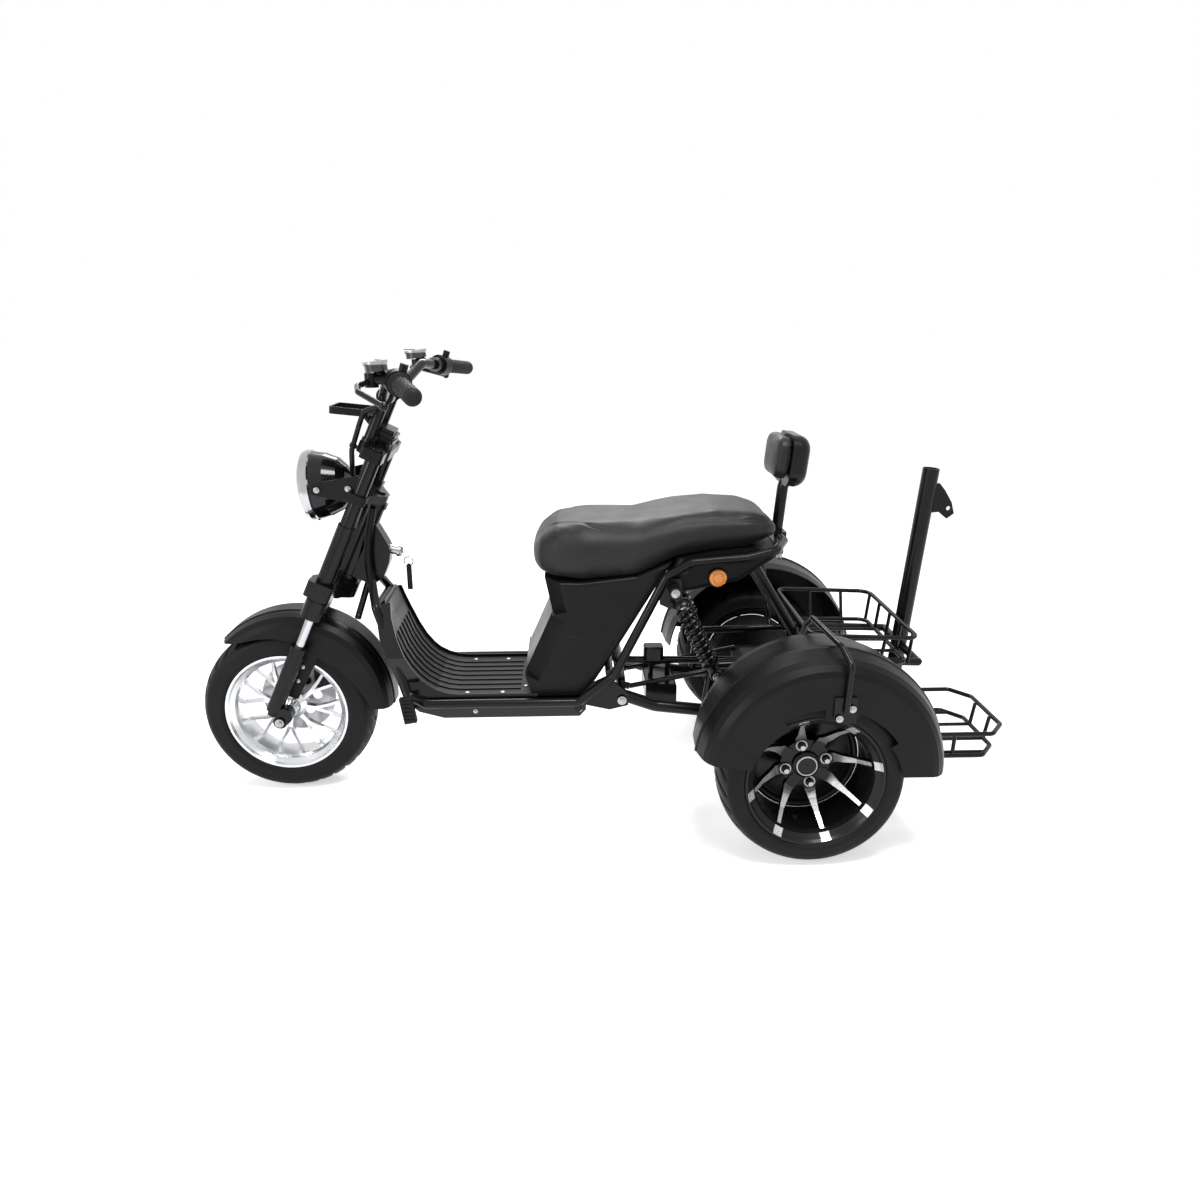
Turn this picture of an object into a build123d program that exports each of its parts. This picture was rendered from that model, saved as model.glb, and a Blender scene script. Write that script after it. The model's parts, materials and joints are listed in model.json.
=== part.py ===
# Electric golf trike: one wheel in front, two behind, a bag post at the back.
# Millimetres. +X is forward, +Y is the trike's left, +Z is up.
# Stations are measured from the ground under the rear axle, and everything is moved at the end.
import math
import os

from build123d import *

os.makedirs("parts", exist_ok=True)

# Overall layout
WHEELBASE = 1147.0
FRONT_R = 199.0
REAR_R = 191.0
TRACK_HALF = 345.0
RAKE = 25.2

# Clearances
RUN = 0.05
GAP = 0.3

# Wheels
FRONT_TYRE_HALF = 55.0
REAR_TYRE_HALF = 70.0
FRONT_FLANGE_R = FRONT_R - 58.0
REAR_FLANGE_R = REAR_R - 50.0
RIM_WELL = 17.0
RIM_WALL = 5.0
FRONT_AXLE_R = 8.0
SPINDLE_R = 12.0
HUB_Y = TRACK_HALF - 17.0
LUG_R = 43.0

# Steering geometry
FORK_Y = 88.0
FORK_OFFSET = 28.0
FORK_TOP_X = WHEELBASE - 258.0
FORK_TOP_Z = FRONT_R + 603.0
STEM_R = 13.0
HEAD_R = 23.0
RISER_Y = 50.0
RISER_AHEAD = 28.5
RISER_R = 12.0
BAR_UP = 117.0

# Yokes, by how far down the fork each one starts and ends
TOP_YOKE = (-10.0, 14.0)
MID_YOKE = (92.0, 112.0)
LOW_YOKE = (305.0, 342.0)
STEM_TOP = MID_YOKE[0] - 4
STEM_LOW = LOW_YOKE[1] + 4

# Frame
RAIL_R = 10.0
RAIL_Y = 150.0
FLOOR_Z = 266.0
PAN_BOTTOM_Z = 216.0
PAN_HALF = 130.0
BOARD_T = 5.0
BOARD_LIP = 4.0

# Handlebar
BAR_R = 11.0
BAR_END_Y = 428.0

# Seat and backrest
BACK_HALF = 75.0
BACK_SEAM_X = 5.0

SR = math.sin(math.radians(RAKE))
CR = math.cos(math.radians(RAKE))
UP = Vector(-SR, 0, CR)
AHEAD = Vector(CR, 0, SR)


def v(x, y, z):
    return Vector(x, y, z)


def rod(a, b, r, inner=0.0):
    # A round bar, or a pipe, from point a to point b.
    a = Vector(*a)
    b = Vector(*b)
    d = b - a
    plane = Plane(origin=a, z_dir=d)
    face = Circle(r)
    if inner > 0:
        face = face - Circle(inner)
    return extrude(plane * face, amount=d.length)


def pipe(points, r, bend):
    # A bent bar along straight runs joined by tangent arcs.
    path = FilletPolyline(*[Vector(*p) for p in points], radius=bend)
    start = path % 0
    return sweep(Plane(origin=path @ 0, z_dir=start) * Circle(r), path=path)


def loop(points, r, bend):
    # A closed four-cornered bent bar, as two halves that meet in the middle of opposite runs.
    a, b, c, d = [Vector(*p) for p in points]
    m = (a + b) * 0.5
    n = (c + d) * 0.5
    return pipe([m, b, c, n], r, bend) + pipe([n, d, a, m], r, bend)


def block(x0, x1, y0, y1, z0, z1):
    size = Box(x1 - x0, y1 - y0, z1 - z0)
    return Pos((x0 + x1) / 2, (y0 + y1) / 2, (z0 + z1) / 2) * size


def side_plate(points, y0, y1):
    # A flat outline of (x, z) points, extruded from y0 to y1.
    plane = Plane(origin=(0, y1, 0), x_dir=(1, 0, 0), z_dir=(0, -1, 0))
    return extrude(plane * make_face(Polyline(*points, close=True)), amount=y1 - y0)


def turned(points, x=0.0, z=0.0):
    # Turns (radius, y) points about the line through (x, z) along Y.
    plane = Plane(origin=(x, 0, z), x_dir=(1, 0, 0), z_dir=(0, 0, 1))
    face = plane * make_face(Polyline(*points, close=True))
    return revolve(face, axis=Axis((x, 0, z), (0, 1, 0)))


def disc_y(r, y0, y1, x, z):
    plane = Plane(origin=(x, y1, z), x_dir=(1, 0, 0), z_dir=(0, -1, 0))
    return extrude(plane * Circle(r), amount=y1 - y0)


def join(pieces):
    pieces = list(pieces)
    out = pieces[0]
    for piece in pieces[1:]:
        out = out + piece
    return out


def less(shape, *others):
    for other in others:
        shape = shape - other
    return shape


def fork_point(t, y=0.0, ahead=0.0):
    # A point t down the fork from its top, and so far ahead of the leg's centre line.
    p = v(FORK_TOP_X, y, FORK_TOP_Z) - UP * t + AHEAD * ahead
    return p


def stem_point(t, y=0.0, ahead=0.0):
    # The same, from the steering axis.
    return fork_point(t, y, ahead - FORK_OFFSET)


nodes = {}

# Wheels


def tyre(radius, half, bead_r, y, x, z):
    shoulder = radius - 14
    profile = [
        (bead_r, y - half + 6),
        (bead_r, y + half - 6),
        (bead_r + 9, y + half),
        (shoulder - 12, y + half + 1),
        (shoulder + 3, y + half - 4),
        (radius - 4, y + half - 16),
        (radius, y + half - 34),
        (radius, y - half + 34),
        (radius - 4, y - half + 16),
        (shoulder + 3, y - half + 4),
        (shoulder - 12, y - half - 1),
        (bead_r + 9, y - half),
    ]
    return turned(profile, x, z)


def barrel(lip, y_out, y_in, side, x, z):
    # The rim's barrel, with its flange lips; side is +1 when the outside is towards +Y.
    s = side
    well = lip - RIM_WELL
    profile = [
        (lip, y_out),
        (lip, y_out - s * 5),
        (lip - 5, y_out - s * 8),
        (well + 4, y_out - s * 16),
        (well, y_out - s * 22),
        (well, y_in + s * 16),
        (lip - 5, y_in + s * 8),
        (lip, y_in + s * 5),
        (lip, y_in),
        (lip - 5, y_in),
        (lip - 9, y_in + s * 6),
        (well - RIM_WALL, y_in + s * 18),
        (well - RIM_WALL, y_out - s * 24),
        (well - 1, y_out - s * 14),
        (lip - 9, y_out - s * 5),
        (lip - 5, y_out),
    ]
    return turned(profile, x, z)


def blade(angle, x, z):
    # One spoke's outline in the wheel's plane: broad at the nut, one hollow edge, a foot at the lip.
    # radius, half width on the leading edge, half width on the trailing edge
    stations = [
        (26, 8.0, 8.0),
        (44, 12.5, 12.5),
        (58, 12.0, 11.0),
        (76, 9.0, 6.0),
        (98, 6.0, 3.5),
        (REAR_FLANGE_R - 21, 5.0, 3.5),
        (REAR_FLANGE_R - 10, 5.5, 5.5),
        (REAR_FLANGE_R - 2, 9.0, 9.0),
    ]
    front = []
    back = []
    for r, lead, trail in stations:
        a = math.radians(angle)
        front.append((x + r * math.cos(a + lead / r), z + r * math.sin(a + lead / r)))
        back.append((x + r * math.cos(a - trail / r), z + r * math.sin(a - trail / r)))
    return front + back[::-1]


def rear_wheel(side):
    y_out = side * (TRACK_HALF + REAR_TYRE_HALF - 4)
    y_in = side * (TRACK_HALF - REAR_TYRE_HALF + 4)
    y_hub = side * HUB_Y
    s = side
    wheel = barrel(REAR_FLANGE_R, y_out, y_in, side, 0, REAR_R)
    # The dish that the spokes are cut from: share of the way out, distance along Y
    pad_r = LUG_R + 20
    reach = REAR_FLANGE_R - 7 - pad_r
    face = [(24, y_hub + s * 1), (pad_r, y_hub + s * 1)]
    for share, rise in ((0.155, 13), (0.48, 33), (0.76, 57)):
        face.append((pad_r + reach * share, y_hub + s * rise))
    face.append((REAR_FLANGE_R - 7, y_out - s * 3))
    back = [(r, y - s * 14) for r, y in face]
    cone = turned(face + back[::-1], 0, REAR_R)
    blades = [
        side_plate(blade(-13.4 + 45 * i, 0, REAR_R), *sorted((y_hub - s * 30, y_out))) for i in range(8)
    ]
    spokes = cone & join(blades)
    hub = turned(
        [
            (SPINDLE_R + RUN, y_hub - s * 44),
            (34, y_hub - s * 44),
            (34, y_hub - s * 18),
            (52, y_hub - s * 16),
            (52, y_hub - s * 3),
            (30, y_hub),
            (28, y_hub + s * 7),
            (20, y_hub + s * 11),
            (0, y_hub + s * 12),
            (0, y_hub - s * 6),
            (SPINDLE_R + RUN, y_hub - s * 6),
        ],
        0,
        REAR_R,
    )
    rotor = turned(
        [
            (33, y_hub - s * 40),
            (100, y_hub - s * 40),
            (100, y_hub - s * 36),
            (33, y_hub - s * 36),
        ],
        0,
        REAR_R,
    )
    nuts = []
    for i in range(4):
        a = math.radians(-14.7 + 90 * i)
        nx = LUG_R * math.cos(a)
        nz = REAR_R + LUG_R * math.sin(a)
        lo, hi = sorted((y_hub - s * 6, y_hub + s * 10))
        nuts.append(disc_y(7.5, lo, hi, nx, nz))
    rim = join([wheel, spokes, hub, rotor] + nuts)
    rubber = tyre(REAR_R, REAR_TYRE_HALF, REAR_FLANGE_R, side * TRACK_HALF, 0, REAR_R)
    return rim, rubber


for side, name in ((1, "left"), (-1, "right")):
    rim, rubber = rear_wheel(side)
    nodes["rear_" + name + "_rim"] = rim
    nodes["rear_" + name + "_tyre"] = rubber

AX = WHEELBASE
AZ = FRONT_R


def y_spoke(angle, x, z):
    # A stem that splits into two arms: (radius, turn, half width) of each.
    pieces = []
    runs = [
        [(18, 0, 7.0), (44, 0, 5.0), (66, 0, 4.5)],
        [(52, 0, 4.5), (84, 7, 3.6), (121, 12, 3.2)],
        [(52, 0, 4.5), (84, -7, 3.6), (121, -12, 3.2)],
    ]
    for stations in runs:
        front = []
        back = []
        for r, turn, w in stations:
            a = math.radians(angle + turn)
            da = w / r
            front.append((x + r * math.cos(a + da), z + r * math.sin(a + da)))
            back.append((x + r * math.cos(a - da), z + r * math.sin(a - da)))
        pieces.append(side_plate(front + back[::-1], -50, 50))
    return join(pieces)


front_barrel = barrel(FRONT_FLANGE_R, FRONT_TYRE_HALF - 4, -FRONT_TYRE_HALF + 4, 1, AX, AZ)
front_dish = turned(
    [(24, 6), (60, 2), (121, -18), (121, -30), (60, -12), (24, -12)], AX, AZ
)
front_spokes = front_dish & join([y_spoke(11 + 45 * i, AX, AZ) for i in range(8)])
front_hub = turned(
    [
        (FRONT_AXLE_R + RUN, -58),
        (24, -58),
        (24, -24),
        (34, -14),
        (34, 4),
        (22, 14),
        (18, 58),
        (FRONT_AXLE_R + RUN, 58),
    ],
    AX,
    AZ,
)
nodes["front_rim"] = join([front_barrel, front_spokes, front_hub])
nodes["front_tyre"] = tyre(FRONT_R, FRONT_TYRE_HALF, FRONT_FLANGE_R, 0, AX, AZ)
front_rotor = turned([(24, -57), (88, -57), (88, -53), (24, -53)], AX, AZ)
slots = []
for i in range(6):
    a = math.radians(60 * i)
    slots.append(disc_y(11, -60, -50, AX + 44 * math.cos(a), AZ + 44 * math.sin(a)))
nodes["front_disc"] = less(front_rotor, *slots)

# Front axle and fork

FENDER_HALF = 66.0
nodes["front_axle"] = disc_y(FRONT_AXLE_R, -FORK_Y - 20, FORK_Y + 20, AX, AZ)

# Outer tube in two widths, then the wide collar: start, end, radius
TUBE_ROWS = [(-14, 168, 16.0), (168, 315, 19.0), (315, 350, 22.5), (350, 394, 24.5)]
COLLAR_END = TUBE_ROWS[-1][1]
LEG_TOP = 470.0
LEG_R = 18.0
STANCHION_R = 10.5
lowers = []
uppers = []
stanchions = []
for s in (1, -1):
    y = s * FORK_Y
    tube = [rod(fork_point(t0, y), fork_point(t1, y), r) for t0, t1, r in TUBE_ROWS]
    uppers.append(join(tube))
    stanchions.append(rod(fork_point(COLLAR_END, y), fork_point(LEG_TOP, y), STANCHION_R))
    leg = rod(fork_point(LEG_TOP, y), fork_point(640, y), LEG_R)
    cuff = rod(fork_point(LEG_TOP, y), fork_point(LEG_TOP + 12, y), LEG_R + 1.5)
    boss = disc_y(16, y - 14, y + 14, AX, AZ)
    clamp = disc_y(19, y - 14, y + 14, AX - 9, AZ + 13)
    arm = rod(fork_point(628, y), v(AX - 4, y, AZ + 6), 13)
    foot = rod(fork_point(640, y), fork_point(652, y), 12)
    lug_rows = (525, 590) if s > 0 else (525,)
    lugs = [rod(fork_point(t, y, -6), fork_point(t, s * FENDER_HALF, -6), 6) for t in lug_rows]
    lowers.append(join([leg, cuff, boss, clamp, arm, foot] + lugs))
fork_hole = disc_y(FRONT_AXLE_R, -200, 200, AX, AZ)
nodes["fork_lowers"] = Compound(children=[less(p, fork_hole).solid() for p in lowers])
nodes["stanchions"] = Compound(children=[p.solid() for p in stanchions])
nodes["fork_tubes"] = Compound(children=[p.solid() for p in uppers])

# Steering stem, and the three yokes that hold the legs to it


def yoke(span, front, nose, rear, heel, pad):
    # Reaches ahead by nose in the middle and by front at the legs, behind by rear,
    # and out past each leg's centre line by pad.
    t0, t1 = span
    half = FORK_Y + pad
    side = [
        (-rear, heel),
        (-rear + 8, heel + 14),
        (-pad + 3, FORK_Y - pad),
        (-pad + 3, half - 5),
        (-pad + 8, half),
        (front - 5, half),
        (front, half - 5),
        (front, FORK_Y - 12),
        (nose, FORK_Y - 26),
    ]
    outline = side + [(a, -y) for a, y in side[::-1]]
    plane = Plane(origin=fork_point(t1), x_dir=AHEAD, z_dir=UP)
    return extrude(plane * make_face(Polyline(*outline, close=True)), amount=t1 - t0)


stem = rod(stem_point(STEM_TOP), stem_point(STEM_LOW), STEM_R)
top_yoke = yoke(TOP_YOKE, 28, RISER_AHEAD + 15, 22, 40, 22)
mid_yoke = yoke(MID_YOKE, 22, 22, FORK_OFFSET + 21, 12, 22)
low_yoke = yoke(LOW_YOKE, 31, 24, FORK_OFFSET + 34, 12, 29)
held = less(join([stem, mid_yoke, low_yoke]), *uppers)
top_yoke = less(top_yoke, *uppers)
nodes["steering_stem"] = Compound(children=[held.solid(), top_yoke.solid()])

# Handlebar risers on the top yoke, their clamps, and the ribbed block between them
risers = []
for s in (1, -1):
    y = s * RISER_Y
    risers.append(rod(fork_point(TOP_YOKE[0], y, RISER_AHEAD), fork_point(-BAR_UP, y, RISER_AHEAD), RISER_R))
    risers.append(rod(fork_point(-BAR_UP, y - 15, RISER_AHEAD), fork_point(-BAR_UP, y + 15, RISER_AHEAD), 18.0))
    risers.append(rod(fork_point(TOP_YOKE[0], y, RISER_AHEAD), fork_point(TOP_YOKE[0] - 8, y, RISER_AHEAD), 15.0))


def fork_slab(t0, t1, a0, a1, half, r):
    # A rounded block along the fork, from t0 to t1 down it and from a0 to a1 ahead of it.
    plane = Plane(origin=fork_point(t1, 0, (a0 + a1) / 2), x_dir=AHEAD, z_dir=UP)
    return extrude(plane * RectangleRounded(a1 - a0, 2 * half, r), amount=t1 - t0)


block_rows = [
    # start, end, behind, ahead, half width
    (TOP_YOKE[0] - 12, TOP_YOKE[0], -14, 30, 34),
    (TOP_YOKE[0] - 20, TOP_YOKE[0] - 12, -18, 34, 38),
    (TOP_YOKE[0] - 25, TOP_YOKE[0] - 20, -14, 30, 34),
    (TOP_YOKE[0] - 31, TOP_YOKE[0] - 25, -18, 34, 38),
    (TOP_YOKE[0] - 40, TOP_YOKE[0] - 31, -12, 28, 32),
]
ribs = [fork_slab(t0, t1, a0, a1, half, 8) for t0, t1, a0, a1, half in block_rows]
bridge = rod(fork_point(-24, -RISER_Y, 20), fork_point(-24, RISER_Y, 20), 8)
BAR0 = fork_point(-BAR_UP, 0, RISER_AHEAD)

# The handlebar: ahead of the clamp, y, above the clamp
BAR_ROWS = [(0, 0, 0), (0, 78, 0), (-39, 205, 53), (-118, BAR_END_Y, 30)]
left = [(BAR0.X + a, b, BAR0.Z + c) for a, b, c in BAR_ROWS]
right = [(x, -y, z) for x, y, z in left]
bar = pipe(right[:0:-1] + left[1:], BAR_R, 38)
nodes["handlebar"] = bar


def along(a, b, d0, d1, r, inner=BAR_R):
    # A sleeve on the straight run from a to b, measured back from b.
    u = (b - a).normalized()
    return rod(b - u * d1, b - u * d0, r, inner)


GRIP_LEN = 122.0
POD_END = GRIP_LEN + 34
PERCH_END = POD_END + 26
grips = []
pods = []
levers = []
cups = []
for pts in (left, right):
    a = Vector(*pts[-2])
    b = Vector(*pts[-1])
    s = 1 if b.Y > 0 else -1
    u = (b - a).normalized()
    flange = along(a, b, GRIP_LEN - 8, GRIP_LEN, 22.0)
    sleeve = along(a, b, 0, GRIP_LEN - 8, 16.5)
    cap = rod(b, b + u * 6, 16.5)
    dome = Pos(*(b + u * 6)) * Sphere(16.5) & rod(b + u * 6, b + u * 14, 20)
    grips.append(join([flange, sleeve, cap, dome]))
    pod = along(a, b, GRIP_LEN + 2, POD_END, 24.0)
    thumb = rod(b - u * (GRIP_LEN + 14) + v(-8, 0, 16), b - u * (GRIP_LEN + 14) + v(-14, 0, 34), 8)
    pods.append(less(join([pod, thumb]), bar))
    perch = along(a, b, POD_END + 1, PERCH_END, 17.0)
    mid = b - u * (POD_END + 13)
    knuckle = mid + v(44, s * -4, 2)
    arm = rod(mid + v(14, 0, 2), knuckle, 10.0)
    pivot = rod(knuckle - v(0, 0, 15), knuckle + v(0, 0, 11), 13)
    lever_rows = [
        knuckle + v(2, s * 6, -4),
        knuckle + v(20, s * 34, -10),
        knuckle + v(6, s * 92, -16),
        b + v(52, s * -14, -18),
    ]
    lever = pipe(lever_rows, 5.5, 14)
    tip = Pos(*lever_rows[-1]) * Sphere(8)
    cup_at = mid + v(34 if s > 0 else 44, s * -6, 16)
    neck = rod(mid + v(16, s * -4, 2), cup_at + v(0, 0, 2), 9.0)
    levers.append(less(join([perch, arm, pivot, neck, lever, tip]), bar))
    cup_plane = Plane(origin=cup_at, x_dir=(u * -1), z_dir=v(0.12, 0, 0.99))
    cup = extrude(cup_plane * RectangleRounded(54, 40, 18), amount=13)
    lid = extrude(cup_plane.offset(13) * RectangleRounded(58, 44, 20), amount=6)
    cups.append(less(join([cup, lid]), levers[-1]))
nodes["grips"] = Compound(children=[g.solid() for g in grips])
nodes["switch_pods"] = Compound(children=[p.solid() for p in pods])
nodes["brake_levers"] = Compound(children=[p.solid() for p in levers])
nodes["fluid_cups"] = Compound(children=[p.solid() for p in cups])

# Small tray ahead of the bar, on a short arm from the riser block
TRAY_TILT = 6.0
tray_lean = math.radians(TRAY_TILT)
tray_x = v(math.cos(tray_lean), 0, math.sin(tray_lean))
tray_z = v(-math.sin(tray_lean), 0, math.cos(tray_lean))
tray_at = fork_point(-45.5, 4, 86.6)
tray_plane = Plane(origin=tray_at, x_dir=tray_x, z_dir=tray_z)
tray = extrude(tray_plane * RectangleRounded(82, 94, 9), amount=15)
hollow = extrude(tray_plane.offset(3) * RectangleRounded(74, 86, 6), amount=16)
tray_arm = rod(tray_at - tray_x * 26 + tray_z * 2, fork_point(-34, 4, 24), 9)
nodes["tray"] = less(join([tray, tray_arm]), hollow)

# The loom from the bar down to the yoke, ahead of the left riser
loom_rows = [
    BAR0 + v(2, 96, -16),
    BAR0 + v(44, 76, -30),
    fork_point(-40, 64, 56),
    fork_point(18, 60, 52),
    fork_point(70, 46, 34),
]
loom = pipe(loom_rows, 5.5, 24)
riser_set = join(risers + ribs + [bridge, loom])
nodes["risers"] = less(riser_set, bar, nodes["steering_stem"], nodes["tray"], *uppers)


def sector(points, x, z, start, stop):
    # Turns (radius, y) points from one angle to another, measured up from +X.
    a = math.radians(start)
    x_dir = v(math.cos(a), 0, math.sin(a))
    normal = x_dir.cross(v(0, 1, 0))
    plane = Plane(origin=(x, 0, z), x_dir=x_dir, z_dir=normal)
    face = plane * make_face(Polyline(*points, close=True))
    return revolve(face, axis=Axis((x, 0, z), (0, -1, 0)), revolution_arc=stop - start)


# Front fender: a section turned about a point behind and above the axle, then trimmed below
FF_X = AX - 27.0
FF_Z = AZ + 25.0
FF_R = 220.0
FENDER_T = 3.0
section = [
    # radius below the crown, y
    (100, FENDER_HALF),
    (32, FENDER_HALF),
    (19, FENDER_HALF - 4),
    (9, 52),
    (4, 36),
    (3, 27),
    (0, 24),
]
half_out = [(FF_R - d, y) for d, y in section]
half_in = [(r - FENDER_T, y - (FENDER_T if y > 50 else 1.5)) for r, y in half_out]
crescent = half_out + [(r, -y) for r, y in half_out[::-1]]
crescent += [(r, -y) for r, y in half_in] + half_in[::-1]
fender = sector(crescent, FF_X, FF_Z, 38, 184)
below = [
    (AX + 190, AZ + 186),
    (AX + 118, AZ + 174),
    (AX + 104, AZ + 176),
    (AX + 74, AZ + 181),
    (AX + 42, AZ + 187),
    (AX + 11, AZ + 188),
    (AX - 26, AZ + 181),
    (AX - 98, AZ + 134),
    (AX - 132, AZ + 112),
    (AX - 165, AZ + 76),
    (AX - 189, AZ + 34),
    (AX - 205, AZ + 8),
    (AX - 222, AZ - 6),
    (AX - 260, AZ - 60),
    (AX, AZ - 60),
    (AX + 190, AZ - 60),
]
fender = less(fender, side_plate(below, -FENDER_HALF - 5, FENDER_HALF + 5))
for s in (1, -1):
    y0, y1 = sorted((s * (FENDER_HALF - FENDER_T), s * FENDER_HALF))
    # The tab beside the caliper ends above it.
    left_tab = [
        (AX - 45, AZ + 187),
        (AX - 104, AZ + 168),
        (AX - 67, AZ + 101),
        (AX - 35, AZ + 41),
        (AX - 5, AZ + 51),
        (AX - 19, AZ + 121),
    ]
    right_tab = left_tab[:2] + [(AX - 85, AZ + 117), (AX - 55, AZ + 97), (AX - 27, AZ + 97), left_tab[5]]
    fender = fender + side_plate(left_tab if s > 0 else right_tab, y0, y1)
nodes["front_fender"] = fender

# Headlamp
LAMP_TILT = -4.0
lamp_dir = v(math.cos(math.radians(LAMP_TILT)), 0, math.sin(math.radians(LAMP_TILT)))
LAMP_AT = fork_point(135, 0, 102)


def lamp_turn(points):
    # Turns (radius, distance ahead) points about the lamp's own line.
    plane = Plane(origin=LAMP_AT, x_dir=lamp_dir, z_dir=v(0, 1, 0))
    face = plane * make_face(Polyline(*[(d, r) for r, d in points], close=True))
    return revolve(face, axis=Axis(LAMP_AT, lamp_dir))


LAMP_R = 75.0
bowl_out = [
    (0, -80),
    (20, -79),
    (40, -70),
    (57, -54),
    (69, -28),
    (LAMP_R, 0),
]
bowl_in = [(LAMP_R - 5, 0), (LAMP_R - 10, -26), (53, -50), (36, -65), (18, -73), (0, -74)]
nodes["headlamp_bowl"] = lamp_turn(bowl_out + bowl_in)
nodes["headlamp_ring"] = lamp_turn(
    [
        (LAMP_R, 0),
        (LAMP_R + 3, 2),
        (LAMP_R + 4, 12),
        (LAMP_R + 1, 20),
        (LAMP_R - 7, 25),
        (LAMP_R - 9, 22),
        (LAMP_R - 5, 15),
        (LAMP_R - 5, 0),
    ]
)
lens_r = LAMP_R - 9.4
nodes["headlamp_lens"] = lamp_turn([(0, 38), (28, 35), (52, 29), (lens_r, 22), (lens_r, 18), (0, 18)])
lamp_inside = lamp_turn(bowl_out + [(LAMP_R, 1), (0, 1)])
ears = []
for s in (1, -1):
    y = s * FORK_Y
    ear = [
        (LAMP_AT.X - 8, LAMP_AT.Z - 4),
        (LAMP_AT.X - 10, LAMP_AT.Z + 16),
        (LAMP_AT.X - 84, LAMP_AT.Z + 32),
        (LAMP_AT.X - 118, LAMP_AT.Z + 36),
        (LAMP_AT.X - 106, LAMP_AT.Z - 14),
        (LAMP_AT.X - 80, LAMP_AT.Z - 22),
    ]
    plate = side_plate(ear, y - 2, y + 2)
    studs = [
        rod((LAMP_AT.X - 22, s * 50, LAMP_AT.Z + 6), (LAMP_AT.X - 22, s * (FORK_Y + 6), LAMP_AT.Z + 6), 6),
        disc_y(6, min(y, y + s * 6), max(y, y + s * 6), LAMP_AT.X - 88, LAMP_AT.Z + 8),
    ]
    ears.append(less(join([plate] + studs), lamp_inside, nodes["steering_stem"], *uppers))
nodes["headlamp_bracket"] = Compound(children=[max(p.solids(), key=lambda q: q.volume) for p in ears])


# Front brake caliper, on the right leg behind the disc's upper rear edge
CALIPER_Y = -70.0
caliper = block(AX - 84, AX - 44, CALIPER_Y, -42, AZ + 22, AZ + 78)
caliper = caliper - disc_y(93, -59.5, -50.5, AX, AZ)
caliper_plate = side_plate(
    [(AX - 84, AZ + 78), (AX - 84, AZ + 40), (AX - 44, AZ + 22), (AX + 6, AZ + 30), (AX + 6, AZ + 70)],
    CALIPER_Y - 5,
    CALIPER_Y,
)
caliper = less(join([caliper, caliper_plate]), nodes["fork_lowers"])
caliper = max(caliper.solids(), key=lambda q: q.volume)
nodes["front_caliper"] = caliper

# Frame
head = rod(stem_point(MID_YOKE[1] + GAP), stem_point(LOW_YOKE[0] - GAP), HEAD_R)
head_rings = [
    rod(stem_point(MID_YOKE[1] + GAP), stem_point(MID_YOKE[1] + 12), HEAD_R + 3),
    rod(stem_point(LOW_YOKE[0] - 12), stem_point(LOW_YOKE[0] - GAP), HEAD_R + 3),
]


def fork_xz(rows):
    # Turns (down the fork, ahead of it) rows into (x, z) points.
    return [(fork_point(t, 0, a).X, fork_point(t, 0, a).Z) for t, a in rows]


# The gusset that carries the lock, behind the head
NECK_T = 265.0
NECK_AHEAD = -72.0
gusset_rows = [(158, -44), (190, -86), (203, -99), (231, -106), (266, -107), (294, -92), (294, -40)]
gusset = side_plate(fork_xz(gusset_rows), -19, 19)
neck = fork_point(NECK_T, 12, NECK_AHEAD)
stop_bar = rod(fork_point(278, 0, -76), fork_point(390, 0, -87), 7.5)
stop_hole = rod(fork_point(380, -20, -86), fork_point(380, 20, -86), 2.5)
stop_bar = stop_bar - stop_hole
# x, y, z along one side rail, from the neck to under the seat's tail
rail_rows = [
    (neck.X, neck.Y, neck.Z),
    (914, 84, 462),
    (846, 126, 268),
    (806, RAIL_Y, 259),
    (468, RAIL_Y, 259),
    (392, RAIL_Y, 318),
    (278, RAIL_Y, 546),
    (224, RAIL_Y, 577),
    (105, RAIL_Y, 586),
    (42, RAIL_Y - 12, 598),
    (12, 70, 603),
]
rails = []
for s in (1, -1):
    rows = [(x, s * y, z) for x, y, z in rail_rows]
    rails.append(pipe(rows, RAIL_R, 24))
cross_rows = [
    # x, z, half width, radius
    (12, 603, 72, 10.0),
    (914, 462, 84, 9.0),
    (760, 254, 147, 9.0),
    (470, 244, 150, 9.0),
    (400, 326, 150, 9.0),
    (240, 560, 150, 9.0),
]
crosses = [rod((x, -h, z), (x, h, z), r) for x, z, h, r in cross_rows]
# Plates that carry the rear carriage's pivot, inside each side rail
PIVOT = (372, 262)
PIVOT_Y = 139.0
PIVOT_R = 9.0
pivot_plates = []
for s in (1, -1):
    y0, y1 = sorted((s * PIVOT_Y, s * (PIVOT_Y + 8)))
    outline = [(476, 256), (440, 300), (404, 318), (358, 276), (358, 248), (400, 238)]
    pivot_plates.append(side_plate(outline, y0, y1))
    bolt_y = sorted((s * (PIVOT_Y + 8), s * (PIVOT_Y + 14)))
    pivot_plates.append(disc_y(8, bolt_y[0], bolt_y[1], PIVOT[0], PIVOT[1]))

# Shock absorbers' ends, and the plates that hold the upper ones to the rails
SHOCK_TOP = (262.0, 176.0, 520.0)
SHOCK_LOW = (168.0, 176.0, 330.0)
SHOCK_EYE = 14.0
shock_plates = []
for s in (1, -1):
    y0, y1 = sorted((s * (RAIL_Y - 4), s * (RAIL_Y + 4)))
    tx, tz = SHOCK_TOP[0], SHOCK_TOP[2]
    outline = [(tx + 30, tz + 22), (tx - 16, tz + 22), (tx - 18, tz - 8), (tx + 6, tz - 46), (tx + 30, tz - 34)]
    shock_plates.append(side_plate(outline, y0, y1))

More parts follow.
